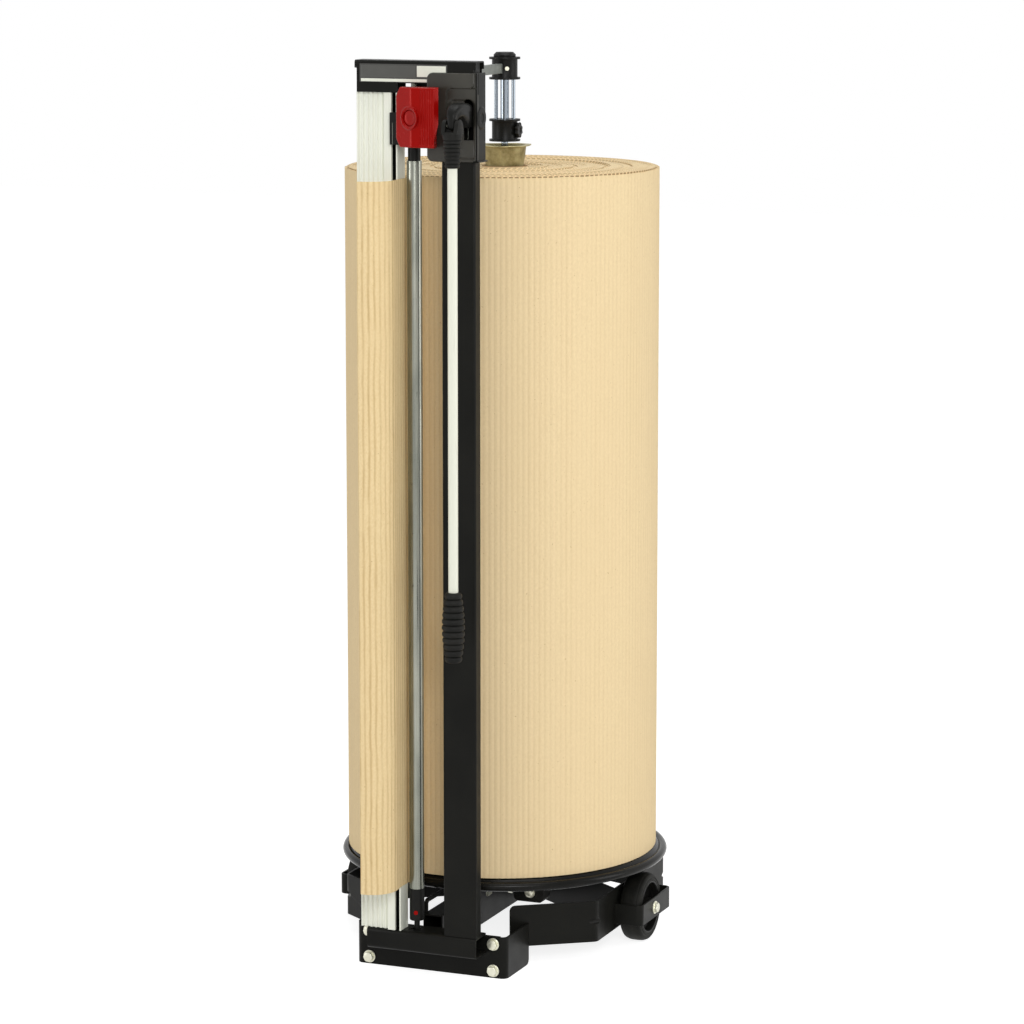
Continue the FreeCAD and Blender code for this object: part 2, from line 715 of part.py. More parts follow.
def right_wheel_strap():
    """U-strap around the wheel's outer side, fixed to the leg in front and behind."""
    outer = strap_outer() - SHEET / 2
    low = WHEEL_R - STRAP_HEIGHT / 2
    path = [(LEG_SPAN, -STRAP_FRONT), (outer, -STRAP_FRONT), (outer, STRAP_REAR), (LEG_SPAN, STRAP_REAR)]
    strap = bent_sheet(path, (STRAP_BEND, STRAP_BEND), SHEET, low, low + STRAP_HEIGHT)
    return strap.cut(rod(AXLE_R, Z * WHEEL_R, Z * WHEEL_R + X * 2 * outer))


def right_axle():
    """Wheel bolt between leg and strap with its head outside."""
    inner = Vector(LEG_SPAN - SHEET, 0, WHEEL_R)
    outer = Vector(strap_outer(), 0, WHEEL_R)
    head = hexagon(HEX_FLATS, outer, outer + X * HEAD_THICK)
    nut = hexagon(HEX_FLATS, inner - X * NUT_THICK, inner)
    return rod(AXLE_R, inner, outer).fuse([head, nut]).removeSplitter()


def wheel_turned(profile):
    """Solid of revolution about the right wheel's axle from (radius, x offset) points."""
    centre = wheel_centre()
    corners = [centre + Vector(offset, 0, radius) for radius, offset in profile]
    return Part.Face(Part.makePolygon(corners + corners[:1])).revolve(centre, X, 360)


def right_tyre():
    """Rubber tyre with bevelled shoulders."""
    half = WHEEL_WIDTH / 2
    inner = WHEEL_R - TYRE_THICK
    shoulder = WHEEL_R - TYRE_BEVEL
    crown = half - TYRE_BEVEL
    edge = WHEEL_R - TYRE_CROWN / 2
    return wheel_turned([(inner, -half), (shoulder, -half), (edge, -crown), (WHEEL_R, 0),
                         (edge, crown), (shoulder, half), (inner, half)])


def right_wheel_hub():
    """Wheel centre: rim, recessed web and hub barrel with a running bore."""
    half = WHEEL_WIDTH / 2
    web = half - WEB_RECESS
    seat = WHEEL_R - TYRE_THICK
    rim_in = seat - RIM_WALL
    end = half + WHEEL_SIDE_GAP - GAP
    bore = AXLE_R + FIT
    return wheel_turned([(bore, -end), (HUB_BARREL_R, -end), (HUB_BARREL_R, -web), (rim_in, -web),
                         (rim_in, -half), (seat, -half), (seat, half), (rim_in, half), (rim_in, web),
                         (HUB_BARREL_R, web), (HUB_BARREL_R, end), (bore, end)])


# ---- turntable and roll ----------------------------------------------------
def on_axis(z):
    """Point on the turntable's axis."""
    return Vector(AXIS_X, 0, z)


def spindle():
    """Fixed upright spindle on the spine."""
    return rod(SPINDLE_R, on_axis(SPINE_TOP), on_axis(DISC_TOP - DISC_THICK - 2 * GAP))


def thrust_bearing():
    """Bearing round the spindle, grooved between its two races."""
    top = SPINE_TOP + BEARING_HEIGHT
    race = pipe(BEARING_R, SPINDLE_R, on_axis(SPINE_TOP), on_axis(top))
    groove = pipe(BEARING_R + PAST, BEARING_R - BEARING_GROOVE,
                  on_axis(SPINE_TOP + BEARING_RACE), on_axis(top - BEARING_RACE))
    return race.cut(groove)


def turntable():
    """Pressed disc with a rolled rim and a hub that turns on the spindle."""
    low = DISC_TOP - DISC_THICK
    bore = SPINDLE_R + FIT
    bead_r = RIM_R - BEAD_R
    bead_z = DISC_TOP - DISC_STEP - BEAD_R
    facets = [math.radians(turn) for turn in (157.5, 202.5, 247.5, 292.5, 337.5, 22.5, 67.5)]
    bead = [(bead_r + BEAD_R * math.cos(turn), bead_z + BEAD_R * math.sin(turn)) for turn in facets]
    profile = [(bore, HUB_BOTTOM), (HUB_R, HUB_BOTTOM), (HUB_R, low), (bead[0][0], low)]
    profile += bead + [(bead_r, DISC_TOP), (0, DISC_TOP), (0, low), (bore, low)]
    return turned(profile, AXIS_X, 0)


def roll_core():
    """Cardboard tube the web is wound on."""
    return pipe(CORE_R, CORE_R - CORE_WALL, on_axis(DISC_TOP), on_axis(WEB_TOP))


def cardboard_roll():
    """Wound roll standing on the turntable."""
    roll = rod(ROLL_R, Z * DISC_TOP, Z * WEB_TOP)
    return roll.cut(rod(CORE_R, on_axis(DISC_TOP), on_axis(WEB_TOP)))


def web_path():
    """Middle line of the web from the roll to its free edge, with its bend radii."""
    inner = ROLL_R + GAP + WEB_THICK / 2
    bend = Vector(FLANK_X + GAP + WEB_THICK / 2, PROFILE_BACK + WEB_BEND_BEHIND, 0)
    angle = math.atan2(bend.y, bend.x) - math.acos(inner / bend.Length)
    start = (inner * math.cos(angle), inner * math.sin(angle))
    mouth = (bend.x, PROFILE_FRONT)
    lean = math.radians(WEB_LEAN)
    knee_reach = WEB_CURL_R * math.tan(math.radians(WEB_CURL_TURN) / 2)
    run = WEB_FREE + knee_reach
    knee = (mouth[0] + run * math.sin(lean), mouth[1] - run * math.cos(lean))
    heading = math.radians(WEB_LEAN - WEB_CURL_TURN - 90)
    tail = knee_reach + WEB_THICK
    end = (knee[0] + tail * math.cos(heading), knee[1] + tail * math.sin(heading))
    return [start, (bend.x, bend.y), mouth, knee, end], (WEB_ENTRY_R, WEB_ENTRY_R, WEB_CURL_R)


def cardboard_web():
    """Web that leaves the roll, passes the gap and curls freely in front."""
    points, radii = web_path()
    return bent_sheet(points, radii, WEB_THICK, DISC_TOP, WEB_TOP)


# ---- profile, mast and header ----------------------------------------------
def profile_outline():
    """Cross-section of the fluted profile, starting at its back left corner."""
    face = PROFILE_FRONT + BAND_PROUD
    floor = PROFILE_FRONT + SLOT_DEPTH
    band_left = SLOT_LEFT - BAND_WIDTH
    pitch = (band_left - PROFILE_LEFT) / FLUTE_COUNT
    slope = (pitch - FLUTE_LAND) / 4
    outline = [(PROFILE_LEFT, PROFILE_BACK)]
    for flute in range(FLUTE_COUNT):
        x = PROFILE_LEFT + flute * pitch
        outline += [(x, face), (x + FLUTE_LAND, face), (x + FLUTE_LAND + slope, face + FLUTE_DEPTH),
                    (x + pitch - slope, face + FLUTE_DEPTH)]
    return outline + [(band_left, face), (band_left, PROFILE_FRONT), (SLOT_LEFT, PROFILE_FRONT),
                      (SLOT_LEFT, floor), (SLOT_RIGHT, floor), (SLOT_RIGHT, PROFILE_FRONT),
                      (FLANK_X, PROFILE_FRONT), (FLANK_X, PROFILE_BACK)]


def fluted_profile():
    """Hollow aluminium extrusion that backs the cut, with the blade's slot."""
    body = prism(profile_outline(), CROSS_TOP, PROFILE_TOP)
    front = PROFILE_FRONT + BAND_PROUD + FLUTE_DEPTH + PROFILE_WALL
    cavity = box((PROFILE_LEFT + PROFILE_WALL, SLOT_LEFT - PROFILE_WALL),
                 (front, PROFILE_BACK - PROFILE_WALL), (CROSS_TOP - PAST, PROFILE_TOP + PAST))
    return body.cut(cavity)


def blade_slot_seal():
    """Dark strip on the floor of the blade slot."""
    floor = PROFILE_FRONT + SLOT_DEPTH
    return box((SLOT_LEFT, SLOT_RIGHT), (floor - SEAL_THICK, floor), (CROSS_TOP, PROFILE_TOP))


def rocker_slot(front, back):
    """Upright slot that the rocker swings in, from a front to a back."""
    half = ARM_WIDTH / 2 + PAST
    return box((ARM_X - half, ARM_X + half), (front, back),
               (PIVOT_Z - ROCKER_SLOT_DOWN, PIVOT_Z + ROCKER_SLOT_UP))


def pivot_hole():
    """Round bar of the pivot pin, through mast and housing."""
    return rod(PIVOT_R, Vector(0, PIVOT_Y, PIVOT_Z), Vector(2 * HOUSING_RIGHT, PIVOT_Y, PIVOT_Z))


def mast():
    """Rectangular tube with a slot for the rocker and a window for the clamp link."""
    outer = box((MAST_LEFT, MAST_RIGHT), (MAST_FRONT, MAST_BACK), (CROSS_TOP, HEADER_TOP - THIN_SHEET))
    outer = rounded(outer, MAST_CORNER, lambda edge: runs_along(edge, Z))
    inner = box((MAST_LEFT + MAST_WALL, MAST_RIGHT - MAST_WALL),
                (MAST_FRONT + MAST_WALL, MAST_BACK - MAST_WALL), (CROSS_TOP - PAST, HEADER_TOP))
    room = LINK_WIDTH / 2 + PAST
    window = box((MAST_LEFT - PAST, MAST_LEFT + MAST_WALL + PAST), (PIVOT_Y - room, PIVOT_Y + room),
                 (LINK_BOTTOM - PAST, LINK_TOP + PAST))
    slot = rocker_slot(MAST_FRONT - PAST, MAST_FRONT + MAST_WALL + PAST)
    return without(outer, [inner, slot, window, pivot_hole()])


def header_channel(low, left, right):
    """Upside-down folded channel from a lower edge to the header's top."""
    half = THIN_SHEET / 2
    path = [(HEADER_FRONT + half, low), (HEADER_FRONT + half, HEADER_TOP - half),
            (HEADER_BACK - half, HEADER_TOP - half), (HEADER_BACK - half, low)]
    return folded_along_x(path, (THIN_SHEET, THIN_SHEET), THIN_SHEET, left, right)


def header():
    """Folded cap over the mast and the profile, with a lip at both ends and a stud guide."""
    body = header_channel(HEADER_BOTTOM, HEADER_LEFT, HEADER_RIGHT)
    lip_low = HEADER_TOP - HEADER_LIP_HEIGHT
    lips = [header_channel(lip_low, HEADER_LEFT - HEADER_LIP, HEADER_LEFT),
            header_channel(lip_low, HEADER_RIGHT, HEADER_RIGHT + HEADER_LIP)]
    notch_z = (HEADER_BOTTOM - PAST, HEADER_BOTTOM + NOTCH_HEIGHT)
    notch = box((NOTCH_LEFT, NOTCH_RIGHT), (HEADER_FRONT - PAST, HEADER_FRONT + THIN_SHEET + PAST), notch_z)
    paper_slot = box((NOTCH_LEFT, NOTCH_LEFT + PAPER_SLOT), (HEADER_FRONT, HEADER_BACK + PAST), notch_z)
    guide = box((NOTCH_LEFT, MAST_LEFT), (HEADER_FRONT + THIN_SHEET, HEADER_BACK - THIN_SHEET),
                (GUIDE_BOTTOM, GUIDE_BOTTOM + THIN_SHEET))
    slot = stud_slot(GUIDE_BOTTOM - PAST, GUIDE_BOTTOM + THIN_SHEET + PAST)
    return without(body.fuse(lips), [notch, paper_slot]).fuse(guide).removeSplitter().cut(slot)


def label_plate():
    """Bare plate on the header's front."""
    left = HEADER_LEFT + LABEL_MARGIN
    top = HEADER_TOP - LABEL_DROP
    return box((left, left + LABEL_WIDTH), (HEADER_FRONT - LABEL_THICK, HEADER_FRONT),
               (top - LABEL_HEIGHT, top))


# ---- housing ---------------------------------------------------------------
def front_region(left, right, low, high, radii, front, depth):
    """Block behind a region of the housing's front; radii run from lower left upwards."""
    corners = [Vector(left, front, low), Vector(left, front, high), Vector(right, front, high),
               Vector(right, front, low)]
    return slab(corners, radii, Y * depth)


def step_region(front, depth):
    """Block behind the part of the front that the S-shaped step sets back."""
    left = HOUSING_LEFT + STEP_LEFT
    right = HOUSING_RIGHT - STEP_RIGHT
    level = HOUSING_TOP - STEP_DROP
    edge = HOUSING_RIGHT - THIN_SHEET
    corners = [Vector(left, front, HOUSING_BOTTOM), Vector(left, front, level),
               Vector(right, front, level), Vector(right, front, HOUSING_TOP),
               Vector(edge, front, HOUSING_TOP), Vector(edge, front, HOUSING_BOTTOM)]
    return slab(corners, (0, STEP_R, STEP_R, 0, 0, 0), Y * depth)


def housing():
    """Pressed cover round the mast's head, with S-step, scoop, side plate and boss."""
    wall = THIN_SHEET
    behind = HOUSING_FRONT + wall
    across = (HOUSING_LEFT, HOUSING_RIGHT)
    corners = (HOUSING_CORNER, HOUSING_CORNER, 0, 0)
    outer = front_region(*across, HOUSING_BOTTOM, HOUSING_TOP, corners, HOUSING_FRONT, HOUSING_DEPTH)
    inner_corners = (HOUSING_CORNER - wall, HOUSING_CORNER - wall, 0, 0)
    inner = front_region(HOUSING_LEFT + wall, HOUSING_RIGHT - wall, HOUSING_BOTTOM + wall,
                         HOUSING_TOP - wall, inner_corners, behind, HOUSING_DEPTH)
    high = (HOUSING_BOTTOM - PAST, HOUSING_TOP + PAST)
    wing = box((HOUSING_LEFT - PAST, MAST_LEFT - PAST),
               (HOUSING_FRONT + WING_DEPTH, HOUSING_BACK + PAST), high)
    under_header = box((HOUSING_LEFT - PAST, HEADER_RIGHT + HEADER_LIP + GAP),
                       (HEADER_FRONT - LABEL_THICK, HOUSING_BACK + PAST),
                       (HEADER_BOTTOM - GAP, HOUSING_TOP + PAST))
    around_mast = box((MAST_LEFT, MAST_RIGHT), (MAST_FRONT, HOUSING_BACK + PAST), high)
    shell = without(outer, [inner, wing, under_header])

    shell = shell.cut(step_region(HOUSING_FRONT, STEP_DEPTH))
    shell = shell.fuse(step_region(behind, STEP_DEPTH))
    scoop_low = HOUSING_BOTTOM + wall
    scoop_top = HOUSING_BOTTOM + SCOOP_HEIGHT
    left = HOUSING_LEFT + SCOOP_LEFT
    right = HOUSING_RIGHT - SCOOP_RIGHT
    radii = (0, SCOOP_R, SCOOP_R, 0)
    floor = HOUSING_FRONT + STEP_DEPTH + SCOOP_DEPTH
    tray = front_region(left - wall, right, scoop_low, scoop_top + wall,
                        (0, SCOOP_R + wall, SCOOP_R, 0), behind, floor + wall - behind)
    hollow = front_region(left, right - wall, scoop_low - wall - PAST, scoop_top, radii,
                          HOUSING_FRONT - PAST, floor - HOUSING_FRONT + PAST)
    shell = shell.fuse(tray).cut(hollow)

    pivot = Vector(HOUSING_RIGHT - wall, PIVOT_Y, PIVOT_Z)
    boss = rod(SIDE_BOSS_R, pivot, pivot + X * (wall + SIDE_BOSS_PROUD))
    flange = box((MAST_RIGHT, HOUSING_RIGHT + HEADER_LIP), (HOUSING_FRONT, HOUSING_BACK),
                 (HOUSING_BOTTOM, HOUSING_BOTTOM + wall))
    shell = shell.fuse([boss, flange]).removeSplitter()
    return without(shell, [around_mast, rocker_slot(HOUSING_FRONT - PAST, MAST_FRONT), pivot_hole()])


# ---- rocker and pull rod ---------------------------------------------------
def pivot_pin():
    """Pin the rocker turns on, through the mast and flush in the housing's boss."""
    seat = Vector(MAST_LEFT, PIVOT_Y, PIVOT_Z)
    end = Vector(HOUSING_RIGHT, PIVOT_Y, PIVOT_Z)
    head = rod(PIVOT_R + THIN_SHEET, seat - X * THIN_SHEET, seat)
    return rod(PIVOT_R, seat, end).fuse(head).removeSplitter()


def return_spring():
    """Torsion spring round the pivot pin inside the mast, beside the rocker's hub."""
    right = ARM_X - ARM_WIDTH / 2 - GAP
    inner = SPRING_R - SPRING_WIRE
    groove = SPRING_R - SPRING_GROOVE
    length = SPRING_COILS * SPRING_WIRE
    outline = [(inner, 0)]
    for coil in range(SPRING_COILS):
        base = coil * SPRING_WIRE
        outline += [(groove, base), (SPRING_R, base + SPRING_WIRE / 2)]
    outline += [(groove, length), (inner, length)]
    corners = [Vector(right - across, PIVOT_Y, PIVOT_Z + radius) for radius, across in outline]
    coils = Part.Face(Part.makePolygon(corners + corners[:1]))
    coils = coils.revolve(Vector(0, PIVOT_Y, PIVOT_Z), X, 360)
    start = Vector(right - SPRING_WIRE, PIVOT_Y + SPRING_R - SPRING_WIRE / 2, PIVOT_Z)
    tail = rod(SPRING_TAIL_R, start - Z * SPRING_TAIL, start)
    return coils.fuse(tail).removeSplitter()


def arm_plate(corners, radii, width, chamfer):
    """Plate across the arm's middle over an outline of (y, z) points, with bevelled sides."""
    plate = slab([Vector(ARM_X - width / 2, y, z) for y, z in corners], radii, X * width)
    return plate.makeChamfer(chamfer, [edge for edge in plate.Edges if edge.BoundBox.XLength < 0.01])


def rocker_arm():
    """Gooseneck lever: root on the pivot pin, thick neck that bends down, and eye for the yoke."""
    half = ARM_DEPTH / 2
    top = NECK_Z + half
    back = PIVOT_Y + ARM_HUB_R
    front = PULL_Y - EYE_R
    root = PIVOT_Z - ROOT_DROP
    heel = PIVOT_Z - ARM_HUB_R / 4
    hub_r = ARM_HUB_R - PAST
    eye_r = EYE_R - FIT
    corners = [(back, heel), (back, top), (front, top), (front, PULL_Z - EYE_R),
               (PULL_Y + EYE_R, PULL_Z - EYE_R), (PULL_Y + EYE_R, NECK_Z - half), (HOUSING_FRONT, root),
               (MAST_FRONT + PAST, root)]
    radii = (hub_r, hub_r, NECK_BEND + half, eye_r, eye_r, half / 2, half / 2, half / 2)
    low = PULL_Z + EAR_TOP_R + NECK_CLEAR
    behind = HOUSING_FRONT - NECK_CLEAR
    neck_corners = [(behind, low), (behind, top), (front, top), (front, low)]
    soft = ARM_CHAMFER + PAST
    neck_radii = (soft, soft, NECK_BEND - ARM_CHAMFER, soft)
    arm = arm_plate(corners, radii, ARM_WIDTH, ARM_CHAMFER)
    arm = arm.fuse(arm_plate(neck_corners, neck_radii, NECK_WIDTH, ARM_CHAMFER)).removeSplitter()
    pin = rod(PULL_PIN_R + FIT, Vector(0, PULL_Y, PULL_Z), Vector(2 * MAST_RIGHT, PULL_Y, PULL_Z))
    bore = rod(PIVOT_R + FIT, Vector(0, PIVOT_Y, PIVOT_Z), Vector(2 * MAST_RIGHT, PIVOT_Y, PIVOT_Z))
    return without(arm, [pin, bore])


def yoke_half():
    """Half width of the yoke over its ears."""
    return ARM_WIDTH / 2 + GAP + EAR_THICK


def yoke_block():
    """Head of the yoke: two ears that taper upwards, with the slot for the arm's eye between them."""
    top = PULL_Z + EAR_TOP_R
    sides = [(-EAR_R, BOOT_TOP), (-EAR_R, DECK_TOP), (-EAR_TOP_R, top), (EAR_TOP_R, top),
             (EAR_R, DECK_TOP), (EAR_R, BOOT_TOP)]
    corners = [Vector(ARM_X - yoke_half(), PULL_Y + y, z) for y, z in sides]
    round_r = EAR_TOP_R - PAST
    block = slab(corners, (0, EAR_R, round_r, round_r, EAR_R, 0), X * (2 * yoke_half()))
    inner = ARM_WIDTH / 2 + GAP
    return block.cut(box((ARM_X - inner, ARM_X + inner), (PULL_Y - 2 * EAR_R, PULL_Y + 2 * EAR_R),
                         (DECK_TOP, top + PAST)))


def ringed(low, high, ribs, groove, radius_at):
    """Side of a ringed barrel as (radius, z) points; each ring is a crest between two grooves."""
    pitch = (high - low) / ribs
    outline = []
    for rib in range(ribs):
        base = low + rib * pitch
        crest = base + pitch / 2
        outline += [(radius_at(base) - groove, base), (radius_at(crest), crest)]
    return outline + [(radius_at(high) - groove, high)]


def boot_radius(z):
    """Outer radius of the tapering boot at a height."""
    share = (z - BOOT_BOTTOM) / BOOT_LENGTH
    return BOOT_BOTTOM_R + (EAR_R - BOOT_BOTTOM_R) * share


def pull_yoke():
    """Fork and ribbed boot that hang from the rocker's eye and hold the pull rod."""
    rings = ringed(BOOT_BOTTOM, BOOT_TOP, BOOT_RIBS, BOOT_GROOVE, boot_radius)
    boot = turned([(ROD_R, BOOT_BOTTOM)] + rings + [(ROD_R, BOOT_TOP)], ARM_X, PULL_Y)
    reach = math.hypot(yoke_half(), EAR_R) - THIN_SHEET
    trim = rod(reach, Vector(ARM_X, PULL_Y, BOOT_BOTTOM - PAST), Vector(ARM_X, PULL_Y, PULL_Z + 2 * EAR_R))
    yoke = boot.fuse(yoke_block()).removeSplitter().common(trim)
    return yoke.cut(rod(PULL_PIN_R, Vector(0, PULL_Y, PULL_Z), Vector(2 * MAST_RIGHT, PULL_Y, PULL_Z)))


def yoke_pin():
    """Pin through the yoke's ears and the rocker's eye."""
    reach = X * (math.sqrt(math.hypot(yoke_half(), EAR_R) ** 2 - EAR_R ** 2) - THIN_SHEET)
    centre = Vector(ARM_X, PULL_Y, PULL_Z)
    return rod(PULL_PIN_R, centre - reach, centre + reach)


def pull_rod():
    """White pull rod from the boot down into the grip."""
    return rod(ROD_R, Vector(ARM_X, PULL_Y, GRIP_BOTTOM + GRIP_FLOOR),
               Vector(ARM_X, PULL_Y, BOOT_BOTTOM + ROD_INSERT))


def grip_radius(z):
    """Outer radius of the barrel grip at a height."""
    share = (z - GRIP_BOTTOM) / GRIP_LENGTH
    return GRIP_END_R + (GRIP_R - GRIP_END_R) * math.sin(math.pi * share)


def rod_grip():
    """Barrel grip with rings, closed at its lower end."""
    rings = ringed(GRIP_BOTTOM, GRIP_TOP, GRIP_RIBS, GRIP_GROOVE, grip_radius)
    floor = GRIP_BOTTOM + GRIP_FLOOR
    return turned([(0, GRIP_BOTTOM)] + rings + [(ROD_R, GRIP_TOP), (ROD_R, floor), (0, floor)], ARM_X, PULL_Y)


# ---- clamp tube ------------------------------------------------------------
def on_tube(z):
    """Point on the clamp tube's axis."""
    return Vector(TUBE_X, TUBE_Y, z)


def clamp_tube():
    """Steel tube that presses the web against the profile's flank."""
    return pipe(TUBE_R, TUBE_R - TUBE_WALL, on_tube(TUBE_BOTTOM), on_tube(TUBE_TOP))


def tube_top_plug():
    """Black plug with a narrow neck below the sleeve that the carriage parks on."""
    spigot = rod(TUBE_R - TUBE_WALL, on_tube(TUBE_TOP - SPIGOT_LENGTH), on_tube(TUBE_TOP))
    neck = rod(TUBE_R - NECK_STEP, on_tube(TUBE_TOP), on_tube(NECK_TOP))
    sleeve = rod(TUBE_R, on_tube(NECK_TOP), on_tube(PLUG_TOP))
    return spigot.fuse([neck, sleeve]).removeSplitter()


def clamp_link():
    """Flat link from the mast's inside to the stud on the plug, which the header guides."""
    half = LINK_WIDTH / 2
    far = MAST_LEFT + LINK_REACH
    inside = (PIVOT_Y - half, PIVOT_Y + half)
    bar = box((TUBE_X - half, far), inside, (LINK_BOTTOM, LINK_TOP))
    wide = box((TUBE_X - half, MAST_LEFT - CLAMP_TRAVEL), (PIVOT_Y - half, TUBE_Y + half),
               (LINK_BOTTOM, LINK_TOP))
    tongue_low = PIVOT_Z + PIVOT_R + 2 * LINK_CLEAR
    tongue = box((far - LINK_TONGUE, far), inside, (tongue_low, LINK_TOP))
    stud = rod(STUD_R, on_tube(PLUG_TOP), on_tube(HEADER_TOP - 2 * THIN_SHEET))
    return bar.fuse([wide, tongue, stud]).removeSplitter()


def release_span(extra):
    """Inner and outer end of the red snap button, with its pocket deepened by extra."""
    angle = math.radians(RELEASE_AZIMUTH)
    facing = Vector(math.sin(angle), -math.cos(angle), 0)
    centre = on_tube(FOOT_BOTTOM + RELEASE_RISE)
    outer = centre + facing * (TUBE_R + RELEASE_PROUD)
    return outer - facing * (RELEASE_LENGTH + extra), outer


def tube_bottom_cap():
    """Black foot of the tube with a pocket for the snap button and a socket for the stud."""
    body = rod(TUBE_R, on_tube(FOOT_BOTTOM), on_tube(TUBE_BOTTOM))
    spigot = rod(TUBE_R - TUBE_WALL, on_tube(TUBE_BOTTOM), on_tube(TUBE_BOTTOM + SPIGOT_LENGTH))
    pocket = rod(RELEASE_R + FIT, *release_span(RELEASE_LENGTH / 2))
    socket = rod(STUD_R, on_tube(FOOT_BOTTOM), on_tube(FOOT_BOTTOM + STUD_SEAT))
    return without(body.fuse(spigot).removeSplitter(), [pocket, socket])


def tube_foot_stud():
    """Steel stud that stands in the crossbar's slot."""
    return rod(STUD_R, on_tube(FOOT_BOTTOM - STUD_DEPTH), on_tube(FOOT_BOTTOM + STUD_SEAT))


def release_button():
    """Red snap button in the tube's foot."""
    return rod(RELEASE_R, *release_span(0))


# ---- blade carriage --------------------------------------------------------
def cover_outline():
    """Plan outline of the red cover: slanted left face, ridge, grooves and right bevel."""
    ridge = COVER_LEFT + RIDGE_ACROSS
    first = COVER_LEFT + RIB_FIRST
    outline = [(COVER_LEFT, COVER_BACK), (COVER_LEFT, COVER_FRONT + COVER_SLANT), (ridge, COVER_FRONT)]
    for rib in range(RIB_COUNT):
        x = first + rib * RIB_PITCH
        outline += [(x - RIB_DEPTH, COVER_FRONT), (x, COVER_FRONT + RIB_DEPTH), (x + RIB_DEPTH, COVER_FRONT)]
    return outline + [(COVER_RIGHT, COVER_FRONT), (COVER_RIGHT + COVER_BEVEL / 2, COVER_FRONT + COVER_BEVEL),
                      (COVER_RIGHT + COVER_BEVEL / 2 - COVER_LEAN, COVER_BACK)]


def button_line(radius, front, back):
    """Round bar along the press button, between two depths."""
    return rod(radius, Vector(BUTTON_X, front, BUTTON_Z), Vector(BUTTON_X, back, BUTTON_Z))


def carriage_cover():
    """Red cover: hollow shell with cut-off left corners, finger relief and button boss."""
    front = COVER_FRONT - PAST
    through = Y * (COVER_DEPTH + 2 * PAST)
    body = prism(cover_outline(), CARRIAGE_BOTTOM, CARRIAGE_TOP)
    for z, up in ((CARRIAGE_BOTTOM, Z), (CARRIAGE_TOP, -Z)):
        corner = Vector(COVER_LEFT, front, z)
        cut = sharp([corner - X - up, corner + X * CHAMFER_ACROSS - up, corner + X * CHAMFER_ACROSS,
                     corner + up * CHAMFER_ALONG, corner - X + up * CHAMFER_ALONG], through)
        body = body.cut(cut)
    side = COVER_RIGHT + COVER_BEVEL
    bottom = CARRIAGE_BOTTOM - PAST
    level = CARRIAGE_BOTTOM + RELIEF_TOP
    relief = sharp([Vector(COVER_RIGHT, front, bottom), Vector(side, front, bottom),
                    Vector(side, front, level + 2 * RELIEF_RUN), Vector(COVER_RIGHT, front, level)], through)
    boss = button_line(BOSS_R, COVER_FRONT - BOSS_PROUD, COVER_FRONT + COVER_SLANT)
    dish = button_line(BOSS_R - BOSS_RIM, COVER_FRONT - BOSS_PROUD, COVER_FRONT)
    wall = COVER_WALL
    right = COVER_RIGHT + COVER_BEVEL / 2 - COVER_LEAN - wall
    hollow = box((COVER_LEFT + CHAMFER_ACROSS + wall, right),
                 (COVER_FRONT + COVER_SLANT, COVER_BACK - wall),
                 (CARRIAGE_BOTTOM + wall, CARRIAGE_TOP - wall))
    bore = button_line(BUTTON_R + FIT, COVER_FRONT - PAST, COVER_FRONT + COVER_SLANT + PAST)
    return without(body.cut(relief).fuse(boss), [dish, hollow, bore]).removeSplitter()


def carriage_body():
    """Black slide: bush on the tube, open towards the web, and the blade's holder."""
    outer = TUBE_R + FIT + BUSH_WALL
    low = CARRIAGE_BOTTOM + BUSH_INSET
    high = PLUG_TOP
    bush = rod(outer, on_tube(low), on_tube(high))
    neck = box((TUBE_X - BUSH_OPEN, TUBE_X + outer), (COVER_BACK, TUBE_Y), (low, high))
    plate = box((BLADE_X - HOLDER_MARGIN, TUBE_X + outer), (COVER_BACK, COVER_BACK + HOLDER_THICK),
                (low, high - HOLDER_SHORT))
    open_side = box((TUBE_X - 2 * outer, TUBE_X - BUSH_OPEN),
                    (COVER_BACK + HOLDER_THICK, TUBE_Y + 2 * outer), (low - PAST, high + PAST))
    bore = rod(TUBE_R + FIT, on_tube(low - PAST), on_tube(high + PAST))
    slit = box((BLADE_X - BLADE_THICK / 2, BLADE_X + BLADE_THICK / 2),
               (COVER_BACK, COVER_BACK + HOLDER_THICK), (low, low + BLADE_LENGTH))
    return without(bush.fuse([neck, plate]).removeSplitter(), [open_side, bore, slit])


def blade():
    """Trapezoid blade that reaches into the profile's slot, edge down."""
    left = BLADE_X - BLADE_THICK / 2
    low = CARRIAGE_BOTTOM + BUSH_INSET
    high = low + BLADE_LENGTH
    tip = PROFILE_FRONT + BLADE_REACH
    corners = [Vector(left, COVER_BACK, high), Vector(left, tip, high), Vector(left, tip, low + BLADE_EDGE),
               Vector(left, COVER_BACK, low)]
    return sharp(corners, X * BLADE_THICK)


def blade_button():
    """Round press button in the dish of the cover's boss."""
    return button_line(BUTTON_R, COVER_FRONT - BUTTON_PROUD, COVER_FRONT + BUTTON_DEEP)


# ---- centring carrier ------------------------------------------------------
def collar(low):
    """Spool-shaped collar with a flange at both ends, cut for the three rods."""
    high = low + COLLAR_HEIGHT
    body = rod(COLLAR_R, on_axis(low), on_axis(high))
    lower = rod(COLLAR_FLANGE_R, on_axis(low), on_axis(low + COLLAR_FLANGE))
    upper = rod(COLLAR_FLANGE_R, on_axis(high - COLLAR_FLANGE), on_axis(high))
    return body.fuse([lower, upper]).removeSplitter()


def rod_lines(low, high, clearance):
    """Round bars of the thick rod and the two thin ones between two heights."""
    lines = [rod(CENTRE_ROD_R + clearance, on_axis(low), on_axis(high))]
    for side in (-1, 1):
        shift = X * (side * SIDE_ROD_X)
        lines.append(rod(SIDE_ROD_R + clearance, on_axis(low) + shift, on_axis(high) + shift))
    return lines


